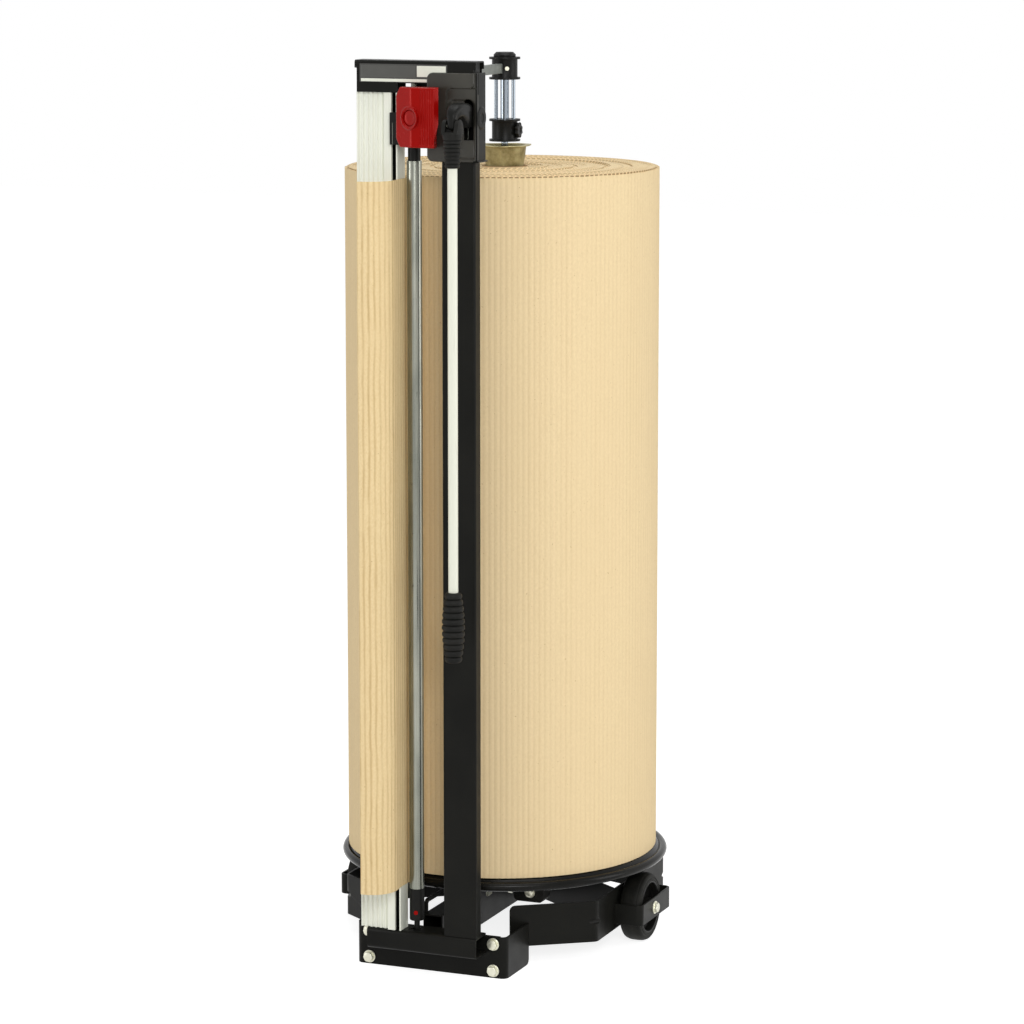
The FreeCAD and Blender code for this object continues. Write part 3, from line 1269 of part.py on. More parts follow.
def centring_arm():
    """Flat bar from the header to the upper collar."""
    half = CENTRE_ARM_THICK / 2
    seat = CENTRE_ROD_R + SIDE_ROD_R + THIN_SHEET + PAST
    return box((AXIS_X - half, AXIS_X + half), (HEADER_BACK, -seat), (CENTRE_ARM_BOTTOM, CENTRE_ARM_TOP))


def collar_bolt():
    """Bolt in the upper collar's front that holds it on the arm."""
    angle = math.radians(COLLAR_BOLT_AZIMUTH)
    facing = Vector(math.sin(angle), -math.cos(angle), 0)
    centre = on_axis((CENTRE_ARM_BOTTOM + CENTRE_ARM_TOP) / 2)
    return rod(COLLAR_BOLT_R, centre + facing * (COLLAR_R - COLLAR_BOLT_DEEP),
               centre + facing * (COLLAR_R + COLLAR_BOLT_PROUD))


def upper_collar():
    """Fixed collar that guides the rods."""
    holes = rod_lines(UPPER_COLLAR_BOTTOM - PAST, UPPER_COLLAR_TOP + PAST, FIT)
    return without(collar(UPPER_COLLAR_BOTTOM), holes + [centring_arm(), collar_bolt()])


def knob_stem(clearance):
    """Round bar of the locking knob's threaded stem."""
    centre = on_axis((LOWER_COLLAR_BOTTOM + LOWER_COLLAR_TOP) / 2)
    return rod(KNOB_STEM_R + clearance, centre + X * (SIDE_ROD_X + SIDE_ROD_R + GAP),
               centre + X * (COLLAR_R + KNOB_GAP + KNOB_LENGTH / 2))


def lower_collar():
    """Collar on the rods' lower end that carries the cup."""
    holes = rod_lines(LOWER_COLLAR_BOTTOM - PAST, LOWER_COLLAR_TOP + PAST, 0)
    return without(collar(LOWER_COLLAR_BOTTOM), holes + [knob_stem(FIT)])


def locking_knob():
    """Small knob that locks the carrier's height."""
    start = on_axis((LOWER_COLLAR_BOTTOM + LOWER_COLLAR_TOP) / 2) + X * (COLLAR_R + KNOB_GAP)
    return knob_stem(0).fuse(rod(KNOB_R, start, start + X * KNOB_LENGTH)).removeSplitter()


def rod_cap():
    """Bevelled cap on the rods, which rests on the upper collar."""
    top = UPPER_COLLAR_TOP + ROD_CAP_HEIGHT
    bevel = ROD_CAP_HEIGHT / 2
    outline = [(0, UPPER_COLLAR_TOP), (ROD_CAP_R, UPPER_COLLAR_TOP), (ROD_CAP_R, top - bevel),
               (ROD_CAP_R - bevel, top), (0, top)]
    return turned(outline, AXIS_X, 0)


def cup_axle():
    """Short axle under the lower collar with a nut that keeps the cup."""
    deck = CUP_RIM_Z - CUP_DECK
    shaft = rod(CUP_AXLE_R, on_axis(deck), on_axis(LOWER_COLLAR_BOTTOM))
    nut = rod(CUP_NUT_R, on_axis(deck - CUP_NUT_THICK), on_axis(deck))
    return shaft.fuse(nut).removeSplitter()


def centring_cup():
    """Pressed cup with a flat rim and an inner deck that sits in the roll's core."""
    wall = CUP_WALL
    bore = CUP_AXLE_R + FIT
    deck = CUP_RIM_Z - CUP_DECK + GAP
    lean = (CUP_TOP_R - CUP_BOTTOM_R) / CUP_DEPTH
    deck_r = CUP_TOP_R - lean * CUP_DECK - wall
    outline = [(bore, deck), (bore, deck + wall), (deck_r, deck + wall), (CUP_TOP_R - wall, CUP_RIM_Z),
               (CUP_RIM_R, CUP_RIM_Z), (CUP_RIM_R, CUP_RIM_Z - wall), (CUP_TOP_R, CUP_RIM_Z - wall),
               (CUP_BOTTOM_R, CUP_BOTTOM_Z), (CUP_BOTTOM_R - wall, CUP_BOTTOM_Z), (deck_r, deck)]
    return turned(outline, AXIS_X, 0)


# ---- roll brake ------------------------------------------------------------
def brake_point(x):
    """Point on the brake rod's axis."""
    return Vector(x, BRAKE_Y, BRAKE_Z)


def brake_lug():
    """Upright lug on the spine that holds the brake rod."""
    half = BRAKE_LUG / 2
    across = (-SPINE_WIDTH / 2, SPINE_WIDTH / 2)
    body = box(across, (BRAKE_Y - half, BRAKE_Y + half), (SPINE_TOP, BRAKE_Z + BRAKE_LUG_OVER))
    return body.cut(rod(BRAKE_ROD_R, brake_point(-PAST), brake_point(SPINE_WIDTH)))


def brake_link():
    """Flat bar along the spine from its front end to the brake's lug."""
    start = BRACKET_FRONT + SHEET + HEAD_PLATE_THICK + BRAKE_LINK_START
    level = SPINE_TOP + BRAKE_LINK_RISE
    left = -SPINE_WIDTH / 2
    path = [(start, SPINE_TOP), (start, level), (BRAKE_Y - BRAKE_LUG / 2, level)]
    return folded_along_x(path, (BRAKE_LINK_BEND,), BRAKE_LINK_THICK, left, left + BRAKE_LINK_THICK)


def brake_rod():
    """Threaded rod from the lug to the brake block, with nuts and a lock tab."""
    half = BRAKE_LUG / 2
    shank = rod(BRAKE_ROD_R, brake_point(0), brake_point(BRAKE_BLOCK + BLOCK_WIDTH / 2))
    fittings = [hexagon(HEX_FLATS, brake_point(x), brake_point(x + NUT_THICK)) for x in BRAKE_NUTS]
    fittings.append(box((BRAKE_TAB, BRAKE_TAB + SHEET), (BRAKE_Y - half, BRAKE_Y + half),
                        (BRAKE_Z - BRAKE_TAB_DROP, BRAKE_Z + half)))
    return shank.fuse(fittings).removeSplitter()


def brake_block():
    """Rounded friction block under the turntable."""
    half = BLOCK_DEPTH / 2
    body = box((BRAKE_BLOCK, BRAKE_BLOCK + BLOCK_WIDTH), (BRAKE_Y - half, BRAKE_Y + half),
               (BRAKE_Z - BLOCK_DROP, DISC_TOP - DISC_THICK - GAP))
    body = rounded(body, BLOCK_CORNER, lambda edge: runs_along(edge, Y))
    return body.cut(rod(BRAKE_ROD_R, brake_point(0), brake_point(BRAKE_BLOCK + BLOCK_WIDTH / 2)))


def brake_bolt():
    """Hexagon bolt in the brake block's front."""
    seat = brake_point(BRAKE_BLOCK + BLOCK_BOLT) - Y * (BLOCK_DEPTH / 2)
    return hexagon(HEX_FLATS, seat - Y * HEAD_THICK, seat)


# ---- assembly --------------------------------------------------------------
SINGLE_PARTS = (
    front_bracket, crossbar, spine, mast, fluted_profile, blade_slot_seal, header, label_plate,
    housing, pivot_pin, return_spring, spindle, thrust_bearing, centring_arm, upper_collar,
    collar_bolt, brake_lug, brake_link, brake_rod, brake_block, brake_bolt, cardboard_web, turntable,
    roll_core, cardboard_roll, rocker_arm, pull_yoke, yoke_pin, pull_rod, rod_grip, clamp_tube,
    tube_top_plug, clamp_link, tube_bottom_cap, tube_foot_stud, release_button, carriage_cover,
    carriage_body, blade, blade_button, rod_cap, lower_collar, cup_axle, locking_knob, centring_cup,
)
SIDE_PARTS = (right_leg, right_cross_plate, right_wheel_strap, right_axle, right_tyre, right_wheel_hub)


def build():
    """All nodes by name, in the working frame."""
    parts = {maker.__name__: maker() for maker in SINGLE_PARTS}
    parts["frame_bolts"] = Part.makeCompound(frame_bolts())
    parts["carrier_rods"] = Part.makeCompound(rod_lines(LOWER_COLLAR_BOTTOM, UPPER_COLLAR_TOP, 0))
    for maker in SIDE_PARTS:
        shape = maker()
        parts[maker.__name__] = shape
        parts[maker.__name__.replace("right_", "left_")] = mirrored(shape)
    return parts


def main():
    """Write every node, moved so that the origin is the bottom centre of the stand."""
    os.makedirs("parts", exist_ok=True)
    parts = build()
    bounds = Part.makeCompound(list(parts.values())).optimalBoundingBox(False, False)
    shift = Vector(-bounds.Center.x, -bounds.Center.y, -bounds.ZMin)
    for name, shape in parts.items():
        shape.translate(shift)
        shape.exportStep(os.path.join("parts", name + ".step"))


main()
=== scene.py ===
"""Looks of the roll stand with clamp and cutter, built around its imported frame."""
import json
import math
import bmesh
import bpy
import numpy as np
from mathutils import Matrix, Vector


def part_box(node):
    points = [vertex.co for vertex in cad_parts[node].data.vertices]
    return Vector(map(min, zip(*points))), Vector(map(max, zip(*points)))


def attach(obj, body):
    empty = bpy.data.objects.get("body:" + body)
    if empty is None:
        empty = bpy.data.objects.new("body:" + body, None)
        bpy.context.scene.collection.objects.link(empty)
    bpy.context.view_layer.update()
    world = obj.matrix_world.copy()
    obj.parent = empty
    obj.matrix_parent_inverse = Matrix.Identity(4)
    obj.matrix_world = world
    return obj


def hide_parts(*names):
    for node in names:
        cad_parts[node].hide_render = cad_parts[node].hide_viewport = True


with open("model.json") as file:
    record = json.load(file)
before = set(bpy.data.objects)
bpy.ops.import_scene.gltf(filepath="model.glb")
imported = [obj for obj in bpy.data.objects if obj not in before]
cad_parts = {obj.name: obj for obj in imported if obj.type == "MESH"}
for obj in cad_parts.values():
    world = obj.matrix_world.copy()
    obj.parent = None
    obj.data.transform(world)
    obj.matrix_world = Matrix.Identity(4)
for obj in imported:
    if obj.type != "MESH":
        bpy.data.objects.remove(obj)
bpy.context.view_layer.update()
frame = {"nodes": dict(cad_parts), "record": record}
nodes = frame["nodes"]
MM = 0.001
TAU = 2 * math.pi


# ---- measures taken from the frame -------------------------------------------
PARTS = {part["node"]: part for part in frame["record"]["subparts"]}
BODY = {node: body for body, members in frame["record"]["behaviour"]["bodies"].items() for node in members}


def span(node):
    """Lowest and highest corner of a node as two arrays."""
    low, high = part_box(node)
    return np.array(low), np.array(high)


def middle(node):
    """Middle of a node's box."""
    low, high = span(node)
    return (low + high) / 2


def levels(node):
    """Heights of a node's bottom and top in mm."""
    return [corner[2] / MM for corner in span(node)]


def half_width(node):
    """Half of a node's width, which is the radius of a round one."""
    low, high = span(node)
    return (high[0] - low[0]) / 2


ROLL_LOW, ROLL_HIGH = span("cardboard_roll")
ROLL_CENTRE = middle("cardboard_roll")
ROLL_R = half_width("cardboard_roll")
CORE_CENTRE = middle("roll_core")
CORE_R = half_width("roll_core")
WRAP = 3.25 * MM        # from one wound wrap to the next
WRAPS = int((ROLL_R - CORE_R) / WRAP)
FLUTE = 8.0 * MM        # from one flute to the next
ROLL_FLUTES = round(TAU * ROLL_R / FLUTE)


# ---- materials ---------------------------------------------------------------
def linear(red, green, blue):
    """Linear colour of a displayed colour given from 0 to 255."""
    shown = np.array((red, green, blue)) / 255.0
    value = np.where(shown <= 0.04045, shown / 12.92, ((shown + 0.055) / 1.055) ** 2.4)
    return (*value.tolist(), 1.0)


class Finish:
    """A node material under construction: a Principled shader and helpers that feed it."""

    def __init__(self, name, colour, roughness, metallic=0.0):
        self.material = bpy.data.materials.new(name)
        self.material.use_nodes = True
        self.tree = self.material.node_tree
        self.shader = self.tree.nodes["Principled BSDF"]
        self.shader.inputs["Base Color"].default_value = colour
        self.shader.inputs["Roughness"].default_value = roughness
        self.shader.inputs["Metallic"].default_value = metallic
        self.place = self.node("ShaderNodeTexCoord").outputs["Object"]

    def node(self, kind, **inputs):
        """Add a node; values go on its sockets, sockets are linked."""
        made = self.tree.nodes.new(kind)
        for key, value in inputs.items():
            self.set(made, key, value)
        return made

    def set(self, made, key, value):
        """Set or link one input of a node, named or numbered."""
        socket = made.inputs[int(key[1:])] if key[0] == "i" and key[1:].isdigit() else made.inputs[key]
        if isinstance(value, bpy.types.NodeSocket):
            self.tree.links.new(value, socket)
        else:
            socket.default_value = value

    def math(self, operation, first, second=0.0):
        """One arithmetic step."""
        made = self.node("ShaderNodeMath", i0=first, i1=second)
        made.operation = operation
        return made.outputs[0]

    def scaled(self, x, y, z):
        """Object coordinates stretched by a factor for each axis."""
        return self.node("ShaderNodeMapping", Vector=self.place, Scale=(x, y, z)).outputs[0]

    def noise(self, scale, detail=3.0, source=None, rough=0.5):
        """Noise between 0 and 1 of a given number of features per metre."""
        made = self.node("ShaderNodeTexNoise", Vector=source or self.place, Scale=scale, Detail=detail,
                         Roughness=rough)
        return made.outputs[0]

    def chance(self, value):
        """Random number between 0 and 1 for each whole number."""
        made = self.tree.nodes.new("ShaderNodeTexWhiteNoise")
        made.noise_dimensions = "1D"
        self.set(made, "W", value)
        return made.outputs[0]

    def ramp(self, value, low, high, bottom=0.0, top=1.0):
        """Value moved from the range low..high to bottom..top, held at its ends."""
        made = self.node("ShaderNodeMapRange", Value=value)
        made.inputs["From Min"].default_value = low
        made.inputs["From Max"].default_value = high
        made.inputs["To Min"].default_value = bottom
        made.inputs["To Max"].default_value = top
        return made.outputs[0]

    def mix(self, factor, first, second):
        """Colour mixed from two others."""
        made = self.tree.nodes.new("ShaderNodeMix")
        made.data_type = "RGBA"
        for key, value in (("i0", factor), ("i6", first), ("i7", second)):
            self.set(made, key, value)
        return made.outputs[2]

    def colour(self, source):
        """Feed the base colour."""
        self.tree.links.new(source, self.shader.inputs["Base Color"])
        return self

    def roughness(self, source):
        """Feed the roughness."""
        self.tree.links.new(source, self.shader.inputs["Roughness"])
        return self

    def bump(self, height, depth, strength=1.0):
        """Small relief of a given depth in metres."""
        made = self.node("ShaderNodeBump", Height=height, Distance=depth, Strength=strength)
        self.tree.links.new(made.outputs[0], self.shader.inputs["Normal"])
        return self

    def tones(self, factor, dark, light):
        """Feed the base colour with a mix of two displayed colours."""
        return self.colour(self.mix(factor, linear(*dark), linear(*light)))

    def grain(self, scale, detail, depth, strength=0.3):
        """Fine relief of a given number of features per metre."""
        return self.bump(self.noise(scale, detail), depth, strength)

    def fixed(self, **values):
        """Values that are the same all over the surface, set on the shader's own sockets."""
        for key, value in values.items():
            self.shader.inputs[key.replace("_", " ")].default_value = value
        return self


def powder_coat():
    """Black satin powder coat with fine orange peel, dust and a little wear."""
    made = Finish("black_powder_coat", linear(20, 20, 18), 0.42)
    made.tones(made.ramp(made.noise(9.0, 5.0), 0.35, 0.75), (17, 17, 15), (26, 26, 23))
    made.roughness(made.ramp(made.noise(24.0, 3.0), 0.3, 0.7, 0.3, 0.42))
    return made.grain(1100.0, 2.0, 0.0001).fixed(Specular_IOR_Level=0.09).material


def disc_coat():
    """Glossier black of the turntable, scuffed by the rolls."""
    made = Finish("turntable_coat", linear(20, 20, 18), 0.25)
    scuff = made.ramp(made.noise(14.0, 6.0), 0.45, 0.75)
    made.tones(scuff, (14, 14, 12), (26, 25, 22))
    made.roughness(made.ramp(scuff, 0.0, 1.0, 0.18, 0.36))
    return made.grain(700.0, 3.0, 0.00008).fixed(Specular_IOR_Level=0.12).material


def housing_coat():
    """Greyer satin of the pressed housing, with soft clouds and fine grain."""
    made = Finish("housing_coat", linear(50, 49, 43), 0.4)
    made.tones(made.ramp(made.noise(16.0, 5.0), 0.35, 0.7), (42, 41, 36), (58, 56, 49))
    made.roughness(made.ramp(made.noise(30.0, 3.0), 0.3, 0.7, 0.3, 0.42))
    return made.grain(900.0, 2.0, 0.0001).fixed(Specular_IOR_Level=0.35).material


def black_plastic():
    """Matte black moulded plastic with a fine grain."""
    made = Finish("black_plastic", linear(20, 20, 20), 0.38)
    made.tones(made.noise(40.0, 4.0), (15, 15, 14), (25, 25, 23))
    return made.grain(1800.0, 2.0, 0.00008).fixed(Specular_IOR_Level=0.12).material


def black_rubber():
    """Soft rubber, duller than the plastic, with faint bloom."""
    made = Finish("black_rubber", linear(24, 24, 24), 0.55)
    made.tones(made.ramp(made.noise(30.0, 5.0), 0.4, 0.8), (18, 18, 16), (32, 31, 28))
    return made.grain(900.0, 3.0, 0.00012, 0.4).fixed(Specular_IOR_Level=0.14).material


def red_cover():
    """Satin red moulded plastic with a fine grain, a red gloss and a slightly uneven depth of colour."""
    made = Finish("red_plastic", linear(140, 5, 3), 0.25)
    made.tones(made.noise(18.0, 3.0), (134, 4, 2), (147, 8, 5))
    made.roughness(made.ramp(made.noise(60.0, 3.0), 0.3, 0.7, 0.2, 0.3))
    made.fixed(Specular_IOR_Level=0.5, Specular_Tint=(1.0, 0.14, 0.12, 1.0))
    return made.grain(700.0, 2.0, 0.00004).material


def lined_aluminium():
    """Off-white satin extrusion with faint drawing lines along it, and the black lining of its blade slot.

    The lining is found by its place in the section: no further from the slot's middle than half the
    seal's width, and behind the raised band's face.
    """
    made = Finish("lined_aluminium", linear(233, 235, 221), 0.42)
    lines = made.noise(1.0, 4.0, made.scaled(900.0, 900.0, 1.5))
    metal = made.mix(made.ramp(lines, 0.3, 0.7), linear(230, 232, 218), linear(238, 240, 227))
    place = made.node("ShaderNodeSeparateXYZ", i0=made.place)
    off = made.math("ABSOLUTE", made.math("SUBTRACT", place.outputs[0], float(middle("blade_slot_seal")[0])))
    in_slot = made.math("LESS_THAN", off, float(half_width("blade_slot_seal") + 0.1 * MM))
    behind = made.math("GREATER_THAN", place.outputs[1], float(span("fluted_profile")[0][1] + 4.3 * MM))
    made.colour(made.mix(made.math("MULTIPLY", in_slot, behind), metal, linear(15, 15, 13)))
    return made.bump(lines, 0.00006, 0.3).fixed(Specular_IOR_Level=0.3).material


def white_enamel():
    """White enamelled rod with faint scuffs."""
    made = Finish("white_enamel", linear(233, 234, 218), 0.3)
    scuff = made.ramp(made.noise(1.0, 5.0, made.scaled(120.0, 120.0, 12.0)), 0.62, 0.8)
    made.tones(scuff, (233, 234, 218), (204, 202, 186))
    return made.grain(500.0, 2.0, 0.00005, 0.2).fixed(Specular_IOR_Level=0.3).material


def drawn_steel():
    """Dull drawn tube with long scratches and a few dark spots of old grease."""
    made = Finish("drawn_steel", linear(128, 130, 120), 0.3, 0.9)
    lines = made.noise(1.0, 5.0, made.scaled(1200.0, 1200.0, 3.0))
    cloud = made.ramp(made.noise(1.0, 4.0, made.scaled(40.0, 40.0, 9.0)), 0.35, 0.65)
    spots = made.ramp(made.noise(90.0, 3.0), 0.68, 0.76, 0.0, 0.6)
    tone = made.mix(made.ramp(lines, 0.35, 0.65), linear(106, 109, 101), linear(142, 144, 134))
    tone = made.mix(made.math("MULTIPLY", cloud, 0.55), tone, linear(172, 172, 160))
    made.colour(made.mix(spots, tone, linear(70, 69, 62)))
    made.roughness(made.ramp(lines, 0.3, 0.7, 0.2, 0.34))
    return made.bump(lines, 0.00002, 0.35).material


def chromed_steel():
    """Polished guide rods."""
    made = Finish("chromed_steel", linear(150, 158, 166), 0.12, 1.0)
    lines = made.noise(1.0, 3.0, made.scaled(1200.0, 1200.0, 20.0))
    made.roughness(made.ramp(lines, 0.3, 0.7, 0.08, 0.2))
    return made.bump(lines, 0.00001, 0.3).material


def zinc_bolts():
    """Bright zinc with a warm cast on bolts and nuts."""
    made = Finish("zinc_bolts", linear(224, 222, 204), 0.32, 0.6)
    made.tones(made.noise(160.0, 4.0), (212, 210, 188), (236, 235, 218))
    return made.grain(900.0, 2.0, 0.00005).material


def yellow_zinc():
    """Yellow passivated zinc with cloudy stains."""
    made = Finish("yellow_zinc", linear(150, 140, 98), 0.42, 0.55)
    cloud = made.ramp(made.noise(55.0, 6.0, rough=0.65), 0.35, 0.7)
    made.tones(cloud, (126, 116, 78), (184, 174, 130))
    made.roughness(made.ramp(cloud, 0.0, 1.0, 0.36, 0.55))
    return made.grain(300.0, 4.0, 0.00012, 0.4).material


def grey_bar():
    """Grey painted flat bar."""
    made = Finish("grey_bar", linear(112, 116, 112), 0.45, 0.4)
    made.tones(made.noise(80.0, 4.0), (98, 102, 98), (132, 136, 131))
    return made.grain(600.0, 3.0, 0.0001).material


def tyre_rubber():
    """Dark tyre rubber with a little dust."""
    made = Finish("tyre_rubber", linear(26, 26, 23), 0.6)
    made.tones(made.ramp(made.noise(45.0, 6.0, rough=0.6), 0.45, 0.8), (19, 19, 16), (38, 37, 31))
    return made.grain(600.0, 4.0, 0.0002, 0.5).fixed(Specular_IOR_Level=0.14).material


def card_stock(made, valley_shade_and_relief, light, dark, line):
    """Colour and relief of brown paper: soft clouds, speckle, flecks, and painted shade in the flutes'
    valleys, which also sink as relief.
    """
    speckle = made.noise(420.0, 3.0, made.scaled(1.0, 1.0, 0.6))
    flecks = made.ramp(made.noise(360.0, 1.0), 0.76, 0.8)
    cloud = made.noise(1.0, 3.0, made.scaled(9.0, 9.0, 3.0))
    paper = made.mix(made.ramp(speckle, 0.3, 0.7), dark, light)
    paper = made.mix(made.ramp(cloud, 0.35, 0.65, 0.0, 0.35), paper, dark)
    # painted shade: the line colour darkens each valley between flutes
    paper = made.mix(valley_shade_and_relief, paper, line)
    made.colour(made.mix(made.math("MULTIPLY", flecks, 0.6), paper, linear(168, 134, 88)))
    relief = made.math("ADD", made.math("MULTIPLY", speckle, 0.3), made.math("MULTIPLY", valley_shade_and_relief, -0.7))
    return made.bump(relief, 0.0002, 0.35).fixed(Specular_IOR_Level=0.15).material


def valley(made, strength, width, waver=0.0):
    """Painted shade: a soft darker line in each valley between flutes, stronger on some than on others and
    broken along it.
    """
    at = made.node("ShaderNodeSeparateXYZ", i0=made.node("ShaderNodeUVMap").outputs[0])
    drift = made.ramp(made.noise(1.0, 3.0, made.scaled(60.0, 60.0, 16.0)), 0.25, 0.75, -waver, waver)
    count = made.math("ADD", at.outputs[0], drift)
    phase = made.math("FRACT", made.math("ADD", count, 0.5))
    side = made.math("ABSOLUTE", made.math("SUBTRACT", phase, 0.5))
    line = made.ramp(side, 0.0, width, 1.0, 0.0)
    index = made.math("FLOOR", made.math("ADD", count, 0.5))
    broken = made.ramp(made.noise(1.0, 3.0, made.scaled(50.0, 50.0, 22.0)), 0.3, 0.6, 0.45, 1.0)
    level = made.math("MULTIPLY", made.ramp(made.chance(index), 0.0, 1.0, 0.35 * strength, strength), broken)
    return made.math("MULTIPLY", line, level)


def roll_paper():
    """Outer liner of the roll; painted shade in each valley between flutes makes faint upright lines round
    it.
    """
    made = Finish("roll_paper", linear(238, 214, 168), 0.9)
    lines = valley(made, 0.3, 0.32, 0.06)
    # the last colour is the painted shade of the valley lines
    return card_stock(made, lines, linear(240, 217, 173), linear(232, 208, 164), linear(210, 182, 136))


def web_paper():
    """Fluted face of the loose web, with a line of painted shade in each valley."""
    made = Finish("web_paper", linear(240, 214, 166), 0.9)
    lines = valley(made, 0.95, 0.3, 0.16)
    # the last colour is the painted shade of the valley lines
    return card_stock(made, lines, linear(241, 217, 169), linear(232, 206, 156), linear(192, 160, 110))


def wrap_paper():
    """Ends of the wraps: a liner, the wave of the flutes, and gaps between them darkened as painted shade.

    The map's first value counts wraps and its second goes once round; a wrap holds as many flutes
    as its length allows.
    """
    made = Finish("wrap_paper", linear(214, 184, 134), 0.9)
    at = made.node("ShaderNodeSeparateXYZ", i0=made.node("ShaderNodeUVMap").outputs[0])
    wrap = made.math("FLOOR", at.outputs[0])
    part = made.math("FRACT", at.outputs[0])
    radius = made.math("ADD", made.math("MULTIPLY", wrap, float(WRAP)), float(CORE_R))
    flutes = made.math("ROUND", made.math("MULTIPLY", radius, float(TAU / FLUTE)))
    chance = made.chance(wrap)
    turn = made.math("MULTIPLY", made.math("MULTIPLY", at.outputs[1], flutes), TAU)
    wave = made.math("SINE", made.math("ADD", turn, made.math("MULTIPLY", chance, TAU)))
    middle_line = made.math("ADD", made.math("MULTIPLY", wave, 0.36), 0.56)
    off_line = made.math("ABSOLUTE", made.math("SUBTRACT", part, middle_line))
    gap = made.ramp(off_line, 0.14, 0.26)
    liner = made.ramp(part, 0.12, 0.2)
    hole = made.math("MULTIPLY", gap, liner)
    fibres = made.ramp(made.noise(500.0, 3.0), 0.3, 0.7)
    paper = made.mix(fibres, linear(240, 216, 170), linear(250, 230, 190))
    paper = made.mix(made.ramp(chance, 0.0, 1.0, 0.0, 0.35), paper, linear(226, 198, 150))
    # Painted shade: the gaps take a dark brown, more in the last two wraps, in some wraps at random, and at
    # each wrap's outer edge and the step to the next.
    last_wrap = made.math("GREATER_THAN", wrap, float(WRAPS - 2.5))
    deep_shade_wrap = made.math("MAXIMUM", made.math("GREATER_THAN", chance, 0.86), last_wrap)
    riser_shade = made.ramp(part, 0.86, 0.9, 0.0, 0.25)
    depth = made.math("ADD", made.math("MULTIPLY", deep_shade_wrap, 0.2), made.math("ADD", riser_shade, 0.25))
    made.colour(made.mix(made.math("MULTIPLY", hole, depth), paper, linear(112, 80, 42)))
    return made.bump(made.math("MULTIPLY", hole, -1.0), 0.001, 0.4).fixed(Specular_IOR_Level=0.2).material


def core_paper():
    """Grey-brown board of the core tube."""
    made = Finish("core_board", linear(170, 140, 100), 0.85)
    made.tones(made.noise(90.0, 5.0), (150, 120, 84), (190, 160, 118))
    return made.grain(400.0, 4.0, 0.0003, 0.5).material


def label_film(name, dark, light):
    """Film of the bare label plate or of one of its plain fields, faintly cloudy between two tones."""
    made = Finish(name, linear(*dark), 0.4)
    made.tones(made.noise(60.0, 3.0), dark, light)
    return made.grain(500.0, 2.0, 0.00003, 0.2).material


# ---- mesh helpers ------------------------------------------------------------
def finished(name, points, faces, node, replaces=True, finish=None, uv=None, sharp=38.0):
    """Piece from whole arrays of points and faces; it rides with a node, takes its slot and may hide it."""
    mesh = bpy.data.meshes.new(name)
    mesh.from_pydata(points.reshape(-1, 3).tolist(), [], faces.tolist())
    if uv is not None:
        mesh.uv_layers.new(name="UVMap").data.foreach_set("uv", uv.ravel())
    work = bmesh.new()
    work.from_mesh(mesh)
    bmesh.ops.remove_doubles(work, verts=work.verts, dist=1e-6)
    bmesh.ops.recalc_face_normals(work, faces=work.faces)
    work.to_mesh(mesh)
    work.free()
    mesh.polygons.foreach_set("use_smooth", np.ones(len(mesh.polygons), dtype=bool))
    mesh.set_sharp_from_angle(angle=math.radians(sharp))
    piece = bpy.data.objects.new(name, mesh)
    bpy.context.scene.collection.objects.link(piece)
    slot = PARTS[node]["material_slot"]
    piece.data.materials.append(finish or NODE_FINISH.get(node, SLOT_FINISH[slot]))
    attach(piece, BODY[node])
    if replaces:
        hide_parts(node)
    return piece


def surface(name, grid, node, around=False, along=False, caps=False, uv=None, **options):
    """Piece from a grid of points; around and along close it, caps pair up the points of its end rows."""
    rows, columns = grid.shape[:2]
    a, b = np.meshgrid(np.arange(rows - (not around)), np.arange(columns - (not along)), indexing="ij")
    corners = np.stack([np.stack(pair, -1) for pair in ((a, b), (a + 1, b), (a + 1, b + 1), (a, b + 1))], -2)
    corners = corners.reshape(-1, 4, 2)
    faces = (corners[..., 0] % rows) * columns + corners[..., 1] % columns
    if uv is not None:
        uv = uv[corners[..., 0], corners[..., 1]]
    if caps:
        near = np.arange(columns // 2 - 1)
        cap = np.stack([near, near + 1, columns - 2 - near, columns - 1 - near], -1)
        faces = np.concatenate([faces, cap, cap + (rows - 1) * columns])
        if uv is not None:
            uv = np.concatenate([uv, np.zeros((2 * len(cap), 4, 2))])
    return finished(name, grid, faces, node, uv=uv, **options)


def shell(name, front, back, node, keep=None, **options):
    """Closed piece between two grids of the same size; keep leaves cells out, and walls close every edge."""
    rows, columns = front.shape[:2]
    a, b = np.meshgrid(np.arange(rows - 1), np.arange(columns - 1), indexing="ij")
    first = a * columns + b
    quads = np.stack([first, first + columns, first + columns + 1, first + 1], -1)
    quads = quads.reshape(-1, 4) if keep is None else quads.reshape(-1, 4)[keep.ravel()]
    edges = np.stack([quads, np.roll(quads, -1, 1)], -1).reshape(-1, 2)
    keys = np.sort(edges, 1) @ np.array([rows * columns, 1])
    _, index, count = np.unique(keys, return_index=True, return_counts=True)
    rim = edges[index[count == 1]]
    far = rows * columns
    walls = np.stack([rim[:, 0], rim[:, 1], rim[:, 1] + far, rim[:, 0] + far], -1)
    faces = np.concatenate([quads, quads[:, ::-1] + far, walls])
    points = np.concatenate([front.reshape(-1, 3), back.reshape(-1, 3)])
    used, faces = np.unique(faces, return_inverse=True)
    return finished(name, points[used], faces.reshape(-1, 4), node, **options)


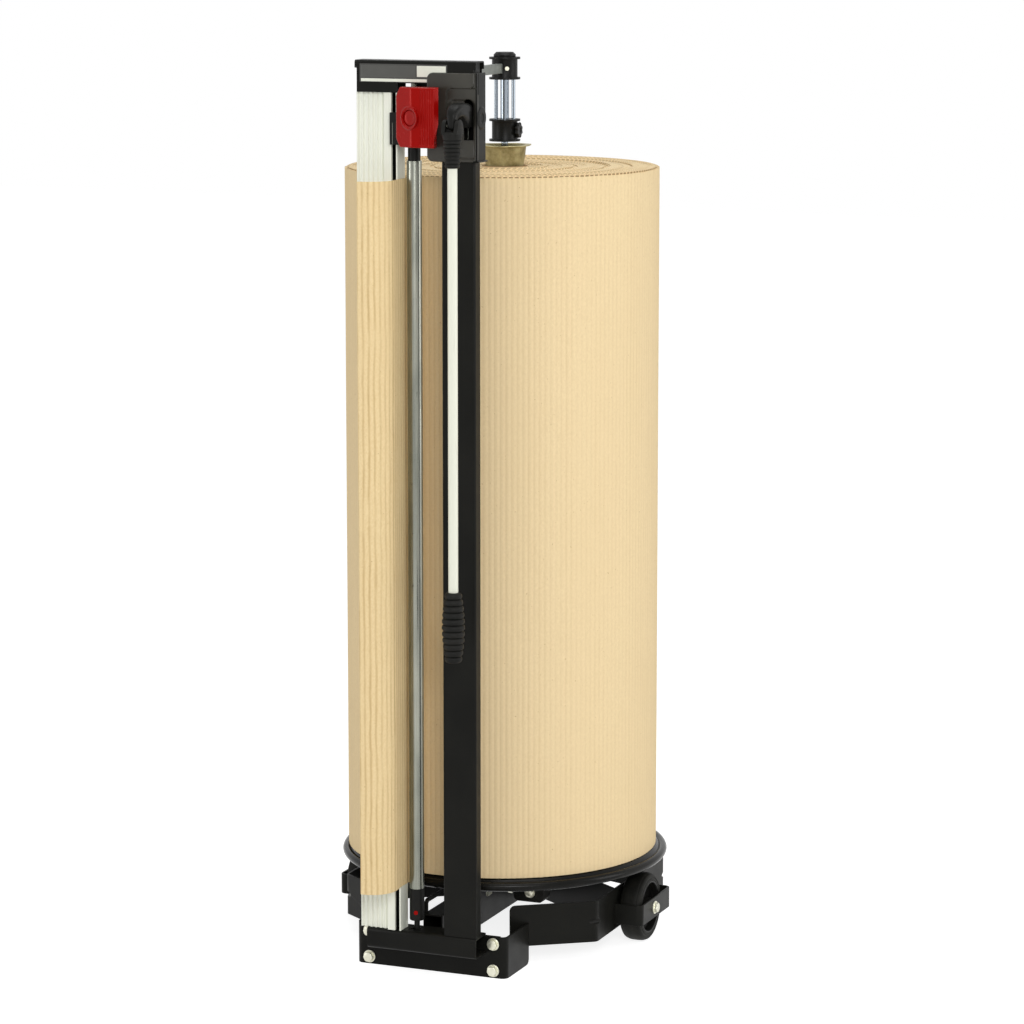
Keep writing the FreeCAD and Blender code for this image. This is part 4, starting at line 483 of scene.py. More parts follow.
def soften(points, radius, closed=True):
    """Line with its corners rounded: each corner becomes a short parabola that starts radius before it."""
    points = np.array(points, float)
    before, after = np.roll(points, 1, 0) - points, np.roll(points, -1, 0) - points
    long_before = np.linalg.norm(before, axis=1)[:, None]
    long_after = np.linalg.norm(after, axis=1)[:, None]
    start = points + before * np.minimum(0.45, radius / np.maximum(long_before, 1e-9))
    end = points + after * np.minimum(0.45, radius / np.maximum(long_after, 1e-9))
    share = np.linspace(0, 1, 5)[None, :, None]
    arcs = (1 - share) ** 2 * start[:, None] + 2 * share * (1 - share) * points[:, None]
    arcs = arcs + share ** 2 * end[:, None]
    if closed:
        return arcs.reshape(-1, points.shape[1])
    return np.concatenate([points[:1], arcs[1:-1].reshape(-1, points.shape[1]), points[-1:]])


def ring_about(axis, angle):
    """Unit directions square to an axis at an array of angles."""
    axis = np.array(axis, float)
    side = np.array((1.0, 0.0, 0.0)) if abs(axis[2]) > 0.9 else np.cross(axis, (0.0, 0.0, 1.0))
    side /= np.linalg.norm(side)
    return np.cos(angle)[:, None] * side + np.sin(angle)[:, None] * np.cross(axis, side)


def turned(name, profile, centre, axis, node, steps=96, wave=None, **options):
    """Surface of revolution: (radius, height) points in mm go round an axis; poles close an open line."""
    profile = np.array(profile, float) * MM
    angle = np.linspace(0, TAU, steps, endpoint=False)
    ring = ring_about(axis, angle)
    height = profile[None, :, 1:]
    if wave is not None:
        height = height + wave(angle[:, None], profile[None, :, 0])[..., None]
    grid = profile[None, :, :1] * ring[:, None, :] + height * np.array(axis, float) + np.array(centre)
    return surface(name, grid, node, around=True, along=profile[0, 0] > 0, **options)


def upright(name, profile, node, **options):
    """Surface of revolution about its node's own upright middle line; heights count from the floor."""
    x, y, _ = middle(node)
    return turned(name, profile, (x, y, 0), (0, 0, 1), node, **options)


def fastener(name, sections, centre, axis, node, steps=60):
    """Bolt or nut: each section gives height, width across flats (0 if round) and greatest radius, in mm."""
    sections = np.array(sections, float) * MM
    angle = np.linspace(0, TAU, steps, endpoint=False)
    sixth = TAU / 6
    lean = np.cos((angle % sixth) - sixth / 2)
    flats = sections[None, :, 1]
    radius = np.where(flats > 0, np.minimum(flats / 2 / lean[:, None], sections[None, :, 2]),
                      sections[None, :, 2])
    height = sections[None, :, :1] * np.array(axis, float)
    grid = radius[..., None] * ring_about(axis, angle)[:, None] + height + np.array(centre)
    return surface(name, grid, node, around=True)


def head_sections(base, height, flats, sign=1.0):
    """Sections of a chamfered hexagon head from its seat to its pole."""
    half = flats / 2
    rise = np.array((0.0, height - 1.3, height - 0.8, height - 0.35, height, height))
    radius = np.array((half * 1.16, half * 1.16, half * 1.1, half * 1.03, half * 0.94, 0.0))
    return [(base + sign * up, flats, reach) for up, reach in zip(rise, radius)]


def spline(control, count):
    """Smooth line of control points: a uniform cubic B-spline whose end points are tripled."""
    control = np.array(control, float)
    control = np.concatenate([control[:1]] * 2 + [control] + [control[-1:]] * 2)
    place = np.linspace(0, len(control) - 3 - 1e-9, count)
    first = place.astype(int)
    t = (place - first)[:, None]
    basis = ((1 - t) ** 3, 3 * t ** 3 - 6 * t ** 2 + 4, -3 * t ** 3 + 3 * t ** 2 + 3 * t + 1, t ** 3)
    return sum(weight * control[first + step] for step, weight in enumerate(basis)) / 6


def bent_line(corners, radii, step):
    """Points, left-hand normals and run of a line of straights and arcs in the XY plane."""
    corners = [np.array(corner, float) for corner in corners]
    pieces, last = [], corners[0]
    for index, radius in enumerate(radii, start=1):
        into = corners[index] - corners[index - 1]
        into /= np.linalg.norm(into)
        out = corners[index + 1] - corners[index]
        out /= np.linalg.norm(out)
        turn = math.atan2(into[0] * out[1] - into[1] * out[0], into @ out)
        reach = radius * math.tan(abs(turn) / 2)
        begin = corners[index] - into * reach
        count = max(2, int(np.linalg.norm(begin - last) / step))
        pieces.append(last + (begin - last) * np.linspace(0, 1, count, endpoint=False)[:, None])
        heading = math.atan2(into[1], into[0])
        angle = heading + np.linspace(0, turn, max(4, int(radius * abs(turn) / step)), endpoint=False)
        sign = math.copysign(1.0, turn)
        centre = begin + sign * radius * np.array((-into[1], into[0]))
        pieces.append(centre + sign * radius * np.stack([np.sin(angle), -np.cos(angle)], -1))
        last = corners[index] + out * reach
    count = max(2, int(np.linalg.norm(corners[-1] - last) / step))
    pieces.append(last + (corners[-1] - last) * np.linspace(0, 1, count)[:, None])
    points = np.concatenate(pieces)
    along = np.gradient(points, axis=0)
    along /= np.linalg.norm(along, axis=1)[:, None]
    run = np.concatenate([[0], np.cumsum(np.linalg.norm(np.diff(points, axis=0), axis=1))])
    return points, np.stack([-along[:, 1], along[:, 0]], -1), run


def ramp01(value, width):
    """Smooth step from 0 to 1 across a width round zero."""
    share = np.clip(value / width + 0.5, 0, 1)
    return share * share * (3 - 2 * share)


def roll_off(distance, radius):
    """How far a rounded edge falls back at a distance from it."""
    rest = np.clip(radius - distance, 0, radius)
    return radius - np.sqrt(radius ** 2 - rest ** 2)


def nearest(*distances):
    """Smallest of several distances, point by point."""
    return np.minimum.reduce(distances)


def oblong(angle, power):
    """Across and along of a rounded oblong: cosine and sine with their size raised to a power."""
    across, along = np.cos(angle), np.sin(angle)
    return np.sign(across) * np.abs(across) ** power, np.sign(along) * np.abs(along) ** power


def columns_with(low, high, step, exact=()):
    """Evenly spaced values from low to high that also hold some exact ones."""
    stops = sorted({low, high, *exact})
    runs = [np.linspace(start, stop, max(2, round((stop - start) / step) + 1))[:-1]
            for start, stop in zip(stops[:-1], stops[1:])]
    return np.concatenate(runs + [[high]])


# ---- roll, web and turntable -------------------------------------------------
WRAP_INSIDE = 0.3 * MM      # outer wrap inside the solid's radius
OUTER_WRAP = 1.4 * MM       # inner side of the outer wrap below that radius
LOW_WRAPS = [9, 21, 22, 35, 36, 47]     # wraps that have slipped down
WEB_GAP = 0.3 * MM
WEB_THICK = 2.0 * MM
WEB_BEND_R = 20.0 * MM
WEB_CURL_R = 34.0 * MM


def flute_wave(turns):
    """Ripple of the liner over the flutes: wide crests and narrow valleys, from 0 to 1."""
    return np.abs(np.sin(math.pi * turns)) ** 0.7


def roll_side():
    """Outer wrap: a tube whose radius falls in each valley between flutes and sways a little with height.

    Two sine waves round the roll lower its upper end unevenly.
    """
    columns = ROLL_FLUTES * 8
    angle = np.linspace(0, TAU, columns + 1)[:-1, None]
    share = np.linspace(0, 1, 24)[None, :]
    low, high = ROLL_LOW[2], ROLL_HIGH[2]
    ripple = (flute_wave(angle * ROLL_FLUTES / TAU) - 1) * 0.45 * MM
    sway = 0.15 * MM * np.sin(3 * angle + 5 * share) * np.sin(math.pi * share)
    outer = ROLL_R + ripple + sway - WRAP_INSIDE
    ends = 0.35 * MM * (np.sin(7 * angle) + np.sin(23 * angle + 1) - 6)
    height = low + (high - low) * share + np.where(share > 0.98, ends, 0)
    inner = np.full_like(angle, ROLL_R - OUTER_WRAP)
    radius = np.concatenate([outer, inner, inner], 1)
    level = np.concatenate([height, height[:, -1:], np.full_like(angle, low)], 1)
    x, y = ROLL_CENTRE[0] + radius * np.cos(angle), ROLL_CENTRE[1] + radius * np.sin(angle)
    turns, rise = np.linspace(0, ROLL_FLUTES, columns + 1), np.linspace(0, 1, radius.shape[1] + 1)
    uv = np.stack(np.meshgrid(turns, rise, indexing="ij"), -1)
    return surface("roll_outer_wrap", np.stack([x, y, level], -1), "cardboard_roll", around=True, along=True,
                   uv=uv, finish=ROLL_PAPER)


def roll_top():
    """Wound wraps: rings of paper from the core outwards, each a little higher or lower than the last.

    The circles' centre moves from the core's axis to the roll's middle as they grow.
    """
    steps = 300
    angle = np.linspace(0, TAU, steps + 1)[:-1, None]
    chance = np.random.default_rng(7)
    wrap = np.repeat(np.arange(WRAPS), 2)
    rise = chance.uniform(-0.5, 0.0, WRAPS) - 0.5 * (1 + np.sin(0.6 * np.arange(WRAPS)))
    rise[LOW_WRAPS] -= 1.6
    rise[-3:] = (-0.6, -0.2, -2.4)
    phase = chance.uniform(0, TAU, WRAPS)
    edge = np.arange(2 * WRAPS) % 2
    share = (wrap + edge) / WRAPS
    radius = CORE_R + (ROLL_R - 1.5 * MM - CORE_R) * share[None, :] + 0 * angle
    level = ROLL_HIGH[2] + MM * (rise[wrap][None, :] + 0.25 * np.sin(2 * angle + phase[wrap][None, :]) - 0.3)
    centre_x = CORE_CENTRE[0] + (ROLL_CENTRE[0] - CORE_CENTRE[0]) * share[None, :] + 0 * angle
    low = np.full_like(angle, ROLL_LOW[2])
    radius = np.concatenate([radius[:, :1], radius, radius[:, -1:]], 1)
    level = np.concatenate([low, level, low], 1)
    centre_x = np.concatenate([centre_x[:, :1], centre_x, centre_x[:, -1:]], 1)
    grid = np.stack([centre_x + radius * np.cos(angle), ROLL_CENTRE[1] + radius * np.sin(angle), level], -1)
    place = np.concatenate([[0.5], wrap + np.where(edge > 0, 0.9, 0.02), [WRAPS - 0.5], [WRAPS - 0.5]])
    u, v = np.meshgrid(np.linspace(0, 1, steps + 1), place, indexing="ij")
    return surface("roll_wraps", grid, "cardboard_roll", around=True, along=True, uv=np.stack([v, u], -1),
                   finish=WRAP_PAPER)


def web():
    """Loose end of the web: a fluted strip along the path from the roll through the throat to its curl.

    Both faces follow the flutes' ripple, stronger outside, and drift together by a slow sine of height and
    run. The strip thins out over its first 30 mm, where it parts from the wrap below.
    """
    low, high = span("cardboard_web")
    profile_low, profile_high = span("fluted_profile")
    thick = WEB_THICK
    lean = math.radians(6.0)
    turn = math.radians(100.0)
    inner = ROLL_R + WEB_GAP + thick / 2
    bend = np.array((profile_high[0] + WEB_GAP + thick / 2, profile_high[1] + 13.0 * MM)) - ROLL_CENTRE[:2]
    start_angle = math.atan2(bend[1], bend[0]) - math.acos(inner / np.linalg.norm(bend))
    start = inner * np.array((math.cos(start_angle), math.sin(start_angle)))
    reach = WEB_CURL_R * math.tan(turn / 2)
    mouth = np.array((bend[0], profile_low[1] - ROLL_CENTRE[1]))
    knee = mouth + (21.0 * MM + reach) * np.array((math.sin(lean), -math.cos(lean)))
    heading = lean - turn - math.pi / 2
    tail = knee + (reach + thick) * np.array((math.cos(heading), math.sin(heading)))
    radii = (WEB_BEND_R, WEB_BEND_R, WEB_CURL_R)
    line, normal, run = bent_line([start, bend, mouth, knee, tail], radii, 1.0 * MM)
    line = line + ROLL_CENTRE[:2]
    wave = (flute_wave(run / FLUTE) - 1)[:, None]
    share = np.linspace(0, 1, 20)
    drift = 0.35 * MM * np.sin(9 * share[None, :] + 30 * run[:, None]) * np.clip(run[:, None] * 6 - 0.3, 0, 1)
    full = np.clip(run[:, None] / (30 * MM), 0, 1)
    level = low[2] + (high[2] - low[2]) * share
    outer = thick * (full - 0.5) + 0.2 * MM * (1 - full) + 0.7 * MM * wave * full + drift
    inside = -thick / 2 - 0.25 * MM * wave * full + drift
    sides = np.concatenate([outer, inside[:, ::-1]], 1)
    flat = line[:, None, :] + normal[:, None, :] * sides[..., None]
    height = np.concatenate([level, level[::-1]])
    grid = np.concatenate([flat, np.broadcast_to(height[None, :, None], (*flat.shape[:2], 1))], -1)
    u, v = np.meshgrid(run / FLUTE, np.linspace(0, 2, len(height) + 1), indexing="ij")
    return surface("web_sheet", grid, "cardboard_web", along=True, caps=True, uv=np.stack([u, v], -1),
                   finish=WEB_PAPER)


def disc():
    """Pressed disc, a turned profile: flat middle, a step down and a round rolled bead at the rim."""
    bottom, top = levels("turntable")
    rim = half_width("turntable") / MM
    bead = 6.5
    bore = 10.1
    hub = 30.0
    turn = np.radians(np.linspace(135, -180, 22))
    round_bead = [(rim - bead + bead * math.cos(a), top - 4.0 - bead + bead * math.sin(a)) for a in turn]
    under = [(rim - 2.4 * bead, top - 2.0), (hub, top - 2.0), (hub, bottom), (bore, bottom)]
    upper = [(bore, top), (rim - 3.6 * bead, top), (rim - 2.6 * bead, top - 0.6),
             (rim - 2.1 * bead, top - 2.6)]
    return upright("turntable_disc", upper + round_bead + under, "turntable", steps=180)


# ---- wheels and bolts --------------------------------------------------------
HEAD_THICK = 5.5
NUT_THICK = 6.5
HEX_FLATS = 13.0


def tyre(side):
    """Tyre, a turned profile: shallow crown, round shoulders with a groove, a raised ring on each wall."""
    node = side + "_tyre"
    half = half_width(node) / MM
    wall = [(38.0, 0.8), (38.8, 0.0), (41.0, 0.0), (41.8, 0.9), (42.8, 0.9), (43.4, 0.2), (45.6, 0.6),
            (47.6, 2.2), (48.7, 4.6), (48.6, 5.6), (49.3, 6.2), (49.8, 9.0), (50.0, 12.5)]
    right = [(radius, half - inset) for radius, inset in wall]
    left = [(radius, inset - half) for radius, inset in wall[::-1]]
    return turned(node + "_tread", soften(right + left, 0.5), middle(node), (1, 0, 0), node, steps=120)


def wheel_hub(side):
    """Hub, a turned profile: rim ring, deep recessed web with a raised lip, barrel with its running bore."""
    node = side + "_wheel_hub"
    end = half_width(node) / MM
    wall = [(6.05, end), (10.5, end), (13.0, end - 2.0), (13.6, 5.0), (18.0, 4.0), (31.0, 4.0), (34.2, 6.0),
            (35.3, 14.6), (35.9, 16.0), (38.0, 16.0)]
    profile = wall + [(radius, -across_x) for radius, across_x in wall[::-1]]
    return turned(node + "_body", soften(profile, 0.5), middle(node), (1, 0, 0), node)


def axle(side):
    """Wheel bolt: chamfered head outside the strap and a nut inside the leg."""
    node = side + "_axle"
    low, high = span(node)
    sign = 1.0 if side == "right" else -1.0
    centre = middle(node)
    inner, outer = sorted((sign * low[0] / MM, sign * high[0] / MM))
    seat, nut_seat = outer - HEAD_THICK, inner + NUT_THICK
    head = head_sections(seat, HEAD_THICK, HEX_FLATS)
    nut = head_sections(nut_seat, NUT_THICK, HEX_FLATS, -1.0)
    washer = [(seat, 0, 9.4), (seat + 0.9, 0, 9.4), (seat + 1.4, 0, 8.9), (seat + 1.4, HEX_FLATS, 7.5)]
    sections = nut[::-1] + [(nut_seat, 0, 5.95), (seat, 0, 5.95)] + washer + head[1:]
    return fastener(node + "_bolt", sections, (0, centre[1], centre[2]), (sign, 0, 0), node)


def frame_bolts():
    """Four bolts with washers in the bracket's front and nuts behind the head plate."""
    low, high = span("frame_bolts")
    washer_r = 9.0
    head_seat = low[1] / MM + HEAD_THICK
    seat = head_seat + 1.6
    nut_seat = high[1] / MM - NUT_THICK
    head = head_sections(head_seat, HEAD_THICK, HEX_FLATS, -1.0)
    washer = [(head_seat, 0, washer_r - 0.6), (head_seat + 0.5, 0, washer_r), (seat, 0, washer_r)]
    nut = head_sections(nut_seat, NUT_THICK, HEX_FLATS)
    sections = head[::-1] + washer + [(seat, 0, 4.0), (nut_seat, 0, 4.0)] + nut
    inset = washer_r * MM
    places = [(x, z) for z in (low[2] + inset, high[2] - inset) for x in (low[0] + inset, high[0] - inset)]
    for number, (x, z) in enumerate(places):
        fastener(f"frame_bolt_{number + 1}", sections, (x, 0, z), (0, 1, 0), "frame_bolts")


def brake_bolt():
    """Bolt of the brake's block, with a broad pale washer under its head."""
    low, high = span("brake_bolt")
    x, _, z = middle("brake_bolt")
    front, seat = low[1] / MM, high[1] / MM
    head = [(front, 0, 0.0), (front, 0, 4.6), (front + 0.9, 0, 5.9), (front + 2.0, 0, 6.4)]
    washer = [(seat - 1.4, 0, 6.5), (seat - 1.4, 0, 7.7), (seat - 0.4, 0, 8.0), (seat, 0, 8.0)]
    sections = head + washer + [(seat, 0, 0.0)]
    fastener("brake_bolt_head", sections, (x, 0, z), (0, 1, 0), "brake_bolt")


# ---- clamp tube, rods and collars --------------------------------------------
def long_round(node, ends=None, bore=0.0, edge=0.6):
    """Smooth bar or tube in a node's own box, with softened edges.

    Its line is two (radius, height) points from the box, or the ones in ends.
    """
    radius = half_width(node) / MM
    first, last = levels(node)
    line = ends or [(radius, first), (radius, last)]
    if bore:
        profile = soften(line + [(bore, last), (bore, first)], edge)
    else:
        profile = soften([(0.0, first)] + line + [(0.0, last)], edge, closed=False)
    return upright(node + "_round", profile, node, steps=64)


def tube_and_rod():
    """Steel tube, its black plug and foot, and the white pull rod, all perfectly round."""
    tube_r = half_width("clamp_tube") / MM
    bore = tube_r - 2.0
    spigot = bore - 0.05
    neck = tube_r - 1.7
    tube_low, tube_top = levels("clamp_tube")
    long_round("clamp_tube", bore=bore)
    first, last = levels("tube_top_plug")
    plug = [(spigot, first), (spigot, tube_top), (neck, tube_top), (neck, tube_top + 20.0),
            (tube_r, tube_top + 21.5), (tube_r, last)]
    long_round("tube_top_plug", plug, edge=0.5)
    first, last = levels("tube_bottom_cap")
    cap = [(tube_r - 0.5, first), (tube_r, first + 1.5), (tube_r, tube_low), (spigot, tube_low),
           (spigot, last)]
    long_round("tube_bottom_cap", cap, edge=0.5)
    long_round("pull_rod")


def cup():
    """Pressed cup, a turned profile: rim, tapering wall and inner deck; two sine waves bend the rim."""
    bottom, top = levels("centring_cup")
    rim = half_width("centring_cup") / MM
    bore = 5.05
    outer = [(rim - 0.6, top), (rim, top - 0.5), (rim - 0.2, top - 1.6), (rim - 6.4, top - 1.8),
             (31.0, top - 3.0), (29.6, top - 16), (27.2, top - 32), (24.4, bottom + 1.5), (24.0, bottom),
             (22.5, bottom)]
    inside = [(27.6, top - 13.4), (bore, top - 13.4), (bore, top - 11.6), (27.2, top - 11.6),
              (29.6, top - 0.6), (32.0, top)]

    def bent(angle, radius):
        share = np.clip((radius - 0.031) / 0.008, 0, 1)
        return share * 0.6 * MM * (np.sin(2 * angle + 0.7) + 0.5 * np.sin(5 * angle))

    return upright("centring_cup_pressing", soften(outer + inside, 0.6), "centring_cup", wave=bent)


def knob():
    """Locking knob on its threaded stem: a turned line whose outer radius dips eight times by a cosine."""
    low, high = span("locking_knob")
    centre = middle("locking_knob")
    angle = np.linspace(0, TAU, 96, endpoint=False)[:, None]
    right = high[0] / MM - 2.4
    left = right - 4.8
    stem = low[0] / MM
    line = [(0.0, stem), (2.4, stem), (2.4, left), (10.0, left), (12.0, left + 1.4), (12.0, right - 1.4),
            (10.4, right), (4.0, right), (3.4, right - 0.8), (0.0, right - 0.8)]
    line = soften(line, 0.6, closed=False)
    radius, height = line[None, :, 0], line[None, :, 1]
    lobe = 1 - 0.2 * np.clip((radius - 5) / 6, 0, 1) * (0.5 + 0.5 * np.cos(8 * angle))
    radius = radius * lobe * MM
    y, z = centre[1] + radius * np.cos(angle), centre[2] + radius * np.sin(angle)
    grid = np.stack([height * MM + 0 * angle, y, z], -1)
    return surface("locking_knob_lobes", grid, "locking_knob", around=True)


# ---- blade carriage ----------------------------------------------------------
RIDGE_ACROSS = 34.5                     # ridge from the solid's left side
FACET = 2.4                             # flat left of the ridge
SLANT = math.tan(math.radians(22.0))    # fall of the left face
BEVEL = 3.8                             # width of the right bevel
BEVEL_FALL = 1.6
GROOVES = 6
GROOVE_PITCH = 3.55
GROOVE_HALF = 1.3
GROOVE_DEPTH = 1.0
BOSS_R = 16.0
BOSS_RISE = 1.1
DISH_R = 13.4
DISH_DEPTH = 1.6
WELL_R = 11.0                           # well round the button
WELL_DEPTH = 3.0


def cover():
    """Red cover as a relief over its front: slanted left face, ridge, six grooves, dished boss, soft rim.

    The front falls back by the slant left of the ridge's facet, by a rounded edge at the rim, and by a
    bevel at the right; the left corners and the lower right one are cut off. The boss is square to the
    slanted face.
    """
    low, high = span("carriage_cover")
    left, front, bottom = (low / MM).tolist()
    ridge = left + RIDGE_ACROSS
    facet = ridge - FACET
    left += 6.0
    front += 1.0
    right = ridge + 33.4
    back, top = high[1] / MM, high[2] / MM
    button_x, _, button_z = middle("blade_button") / MM
    x = columns_with(left, right + BEVEL, 0.4, (facet, ridge, right))
    z = columns_with(bottom, top, 0.55)
    x, z = np.meshgrid(x, z)

    ends = np.minimum(z - bottom, top - z)
    corner, corner_run = 7.0, 13.0
    left_edge = left + corner * np.clip(1 - ends / corner_run, 0, 1) ** 1.2
    relief_middle, relief_run = 22.0, 26.0
    right_edge = right + BEVEL * (1 - ramp01(bottom + relief_middle - z, relief_run))
    x = np.where(x < facet, facet - (facet - x) * (facet - left_edge) / (facet - left), x)
    x = np.where(x > ridge, ridge + (x - ridge) * (right_edge - ridge) / (right + BEVEL - ridge), x)

    fall = SLANT * np.clip(facet - x, 0, None) + 0.2 * np.clip(ridge - x, 0, FACET)
    along_rib = (x - (ridge + 13.4)) / GROOVE_PITCH
    rib = np.round(np.clip(along_rib, 0, GROOVES - 1))
    groove = np.clip(1 - np.abs(along_rib - rib) * GROOVE_PITCH / GROOVE_HALF, 0, 1)
    fall = fall + GROOVE_DEPTH * groove ** 0.7 * ramp01(ends - 3.0, 2.0)
    fall = fall + BEVEL_FALL * np.clip(x - right, 0, None)

    away = np.hypot((x - button_x) / math.cos(math.atan(SLANT)), z - button_z)
    boss = ramp01(BOSS_R - away, 1.4)
    fall = fall * (1 - boss) + boss * (SLANT * (facet - x) - BOSS_RISE)
    fall = fall + DISH_DEPTH * ramp01(DISH_R - away, 1.0)
    fall = fall + WELL_DEPTH * ramp01(WELL_R - np.hypot(x - button_x, z - button_z), 0.7)
    fall = fall + roll_off(nearest(x - left_edge, right_edge - x + 1.6, ends), 2.2)

    front_grid = np.stack([x, front + fall, z], -1) * MM
    lean, lean_run = 8.5, 15.0
    shift = lean * np.clip((x - right + 12.0) / lean_run, 0, 1)
    back_grid = np.stack([x - shift, np.full_like(x, back), z], -1) * MM
    return shell("carriage_cover_moulding", front_grid, back_grid, "carriage_cover", sharp=50.0)


def press_button():
    """Round button with a softened rim and a shallow dish, cut slantwise like the cover's left face."""
    low, high = span("blade_button")
    x, _, z = middle("blade_button")
    face, back = low[1] / MM + 3.4, high[1] / MM
    line = [(0.0, face + 0.6), (6.0, face + 0.4), (8.6, face), (9.8, face), (10.4, face + 0.6), (10.45, back),
            (0.0, back)]

    def slantwise(angle, radius):
        return -SLANT * radius * np.cos(angle)

    return turned("blade_button_cap", soften(line, 0.4, closed=False), (x, 0, z), (0, 1, 0), "blade_button",
                  steps=72, wave=slantwise)


# ---- housing and label -------------------------------------------------------
SIDE_BEYOND = 5.5           # side plate's face right of the mast
SHEET = 2.0                 # housing's sheet
SLOT_HALF = 7.2
SLOT_UP, SLOT_DOWN = 26.0, 30.0
SLOT_ROUND = 7.0
CORNER = 9.0
STEP_LEFT, STEP_RIGHT, STEP_DROP = 28.8, 4.5, 20.5
STEP_ROUND = 8.0
STEP_DEPTH = 2.6
SCOOP_LEFT, SCOOP_RIGHT, SCOOP_HEIGHT = 29.5, 3.0, 86.4
SCOOP_ROUND = 10.0
SCOOP_DEPTH = 4.0


def corner_distance(a, b, radius):
    """Distance to two edges at the distances a and b whose corner is rounded."""
    curved = radius - np.hypot(radius - a, radius - b)
    return np.where((a < radius) & (b < radius), curved, np.minimum(a, b))


def housing_pressing():
    """Front sheet of the mast's cover as a relief with an S-step, a scoop and the rocker's slot.

    Each region's distance to its rounded outline drives a smooth step, and the rim rolls back.
    """
    low, high = span("housing")
    pivot_z = middle("pivot_pin")[2] / MM
    arm = middle("rocker_arm")[0] / MM
    left, front, bottom = (low / MM).tolist()
    top = high[2] / MM
    right = span("mast")[1][0] / MM + SIDE_BEYOND
    slot_low, slot_high = pivot_z - SLOT_DOWN, pivot_z + SLOT_UP
    slot_left, slot_right = arm - SLOT_HALF, arm + SLOT_HALF
    header_low = levels("header")[0]
    x = columns_with(left, right, 0.75, (slot_left, slot_right))
    z = columns_with(bottom, top, 0.8, (slot_low, slot_high, header_low - 0.4, header_low + 0.4))
    x, z = np.meshgrid(x, z)

    cell_x = (x[:-1, :-1] + x[1:, 1:]) / 2
    cell_z = (z[:-1, :-1] + z[1:, 1:]) / 2
    sides = np.minimum(cell_x - slot_left, slot_right - cell_x)
    keep = ~((corner_distance(sides, slot_high - cell_z, SLOT_ROUND) > 0) & (cell_z > slot_low))

    ends = np.minimum(z - bottom, top - z)
    near = np.clip(CORNER - ends, 0, CORNER)
    left_edge = left + CORNER - np.sqrt(CORNER ** 2 - near ** 2)
    blend_run = 14.0
    x = x + (left_edge - left) * np.clip((left + blend_run - x) / blend_run, 0, 1)

    width = right - left
    u, v = x - left, z - bottom
    level = top - bottom - STEP_DROP
    high_left = corner_distance(width - STEP_RIGHT - u, v - level, STEP_ROUND)
    low_right = np.maximum(corner_distance(u - STEP_LEFT, level - v, STEP_ROUND), 0)
    inside = np.where((u > STEP_LEFT) & (v < level), low_right, np.minimum(u - STEP_LEFT, -high_left))
    sides = np.minimum(u - SCOOP_LEFT, width - SCOOP_RIGHT - u)
    scoop = corner_distance(sides, SCOOP_HEIGHT - v, SCOOP_ROUND)
    fall = STEP_DEPTH * ramp01(inside - 0.6, 1.3)
    fall = fall + SCOOP_DEPTH * ramp01(np.minimum(scoop, v - 3.0) - 2.0, 4.5)
    y = front + fall + roll_off(nearest(x - left_edge, right - x, ends), 2.2)

    behind_header, behind_mast = 3.2, 7.7
    depth = np.where(z > header_low - 0.5, behind_header, behind_mast)
    front_grid = np.stack([x, y, z], -1) * MM
    back_grid = np.stack([x, np.maximum(front + depth, y + 0.3), z], -1) * MM
    return shell("housing_pressing", front_grid, back_grid, "housing", keep=keep, sharp=50.0)


def housing_side():
    """Side plate: a round boss with a dimple over the pivot, a fine line along its front, a soft rim."""
    low, high = (corner / MM for corner in span("housing"))
    pivot = middle("pivot_pin") / MM
    mast_right = span("mast")[1][0] / MM
    deep, tall = np.meshgrid(columns_with(low[1] + 2.4, high[1], 0.8), columns_with(low[2], high[2], 0.8))
    away = np.hypot(deep - pivot[1], tall - pivot[2])
    boss_r, dimple_r, line_at = 15.0, 6.4, 6.5
    out = 1.0 * ramp01(boss_r - away, 2.2) - 0.9 * ramp01(dimple_r - away, 1.2)
    out = out - 0.5 * ramp01(0.8 - np.abs(deep - (low[1] + line_at)), 1.2)
    out = out - roll_off(nearest(tall - low[2], high[2] - tall, high[1] - deep), 0.9)
    outer = np.stack([mast_right + SIDE_BEYOND + out, deep, tall], -1) * MM
    inner = np.stack([np.full_like(deep, mast_right + SIDE_BEYOND - SHEET - 0.1), deep, tall], -1) * MM
    return shell("housing_side", outer, inner, "housing", sharp=50.0, finish=COAT)


def housing_flange():
    """Flange that stands out at the right of the housing's foot, with rolled edges."""
    low, high = (corner / MM for corner in span("housing"))
    front = low[1] + 1.0
    mast_right = span("mast")[1][0] / MM
    x, y = np.meshgrid(columns_with(mast_right + 0.3, high[0], 0.7), columns_with(front, high[1], 0.9))
    drop = roll_off(nearest(y - front, high[1] - y, high[0] - x), 0.8)
    upper = np.stack([x, y, low[2] + SHEET - drop], -1) * MM
    lower = np.stack([x, y, low[2] + drop * 0.5], -1) * MM
    return shell("housing_flange", upper, lower, "housing", sharp=50.0, finish=COAT)


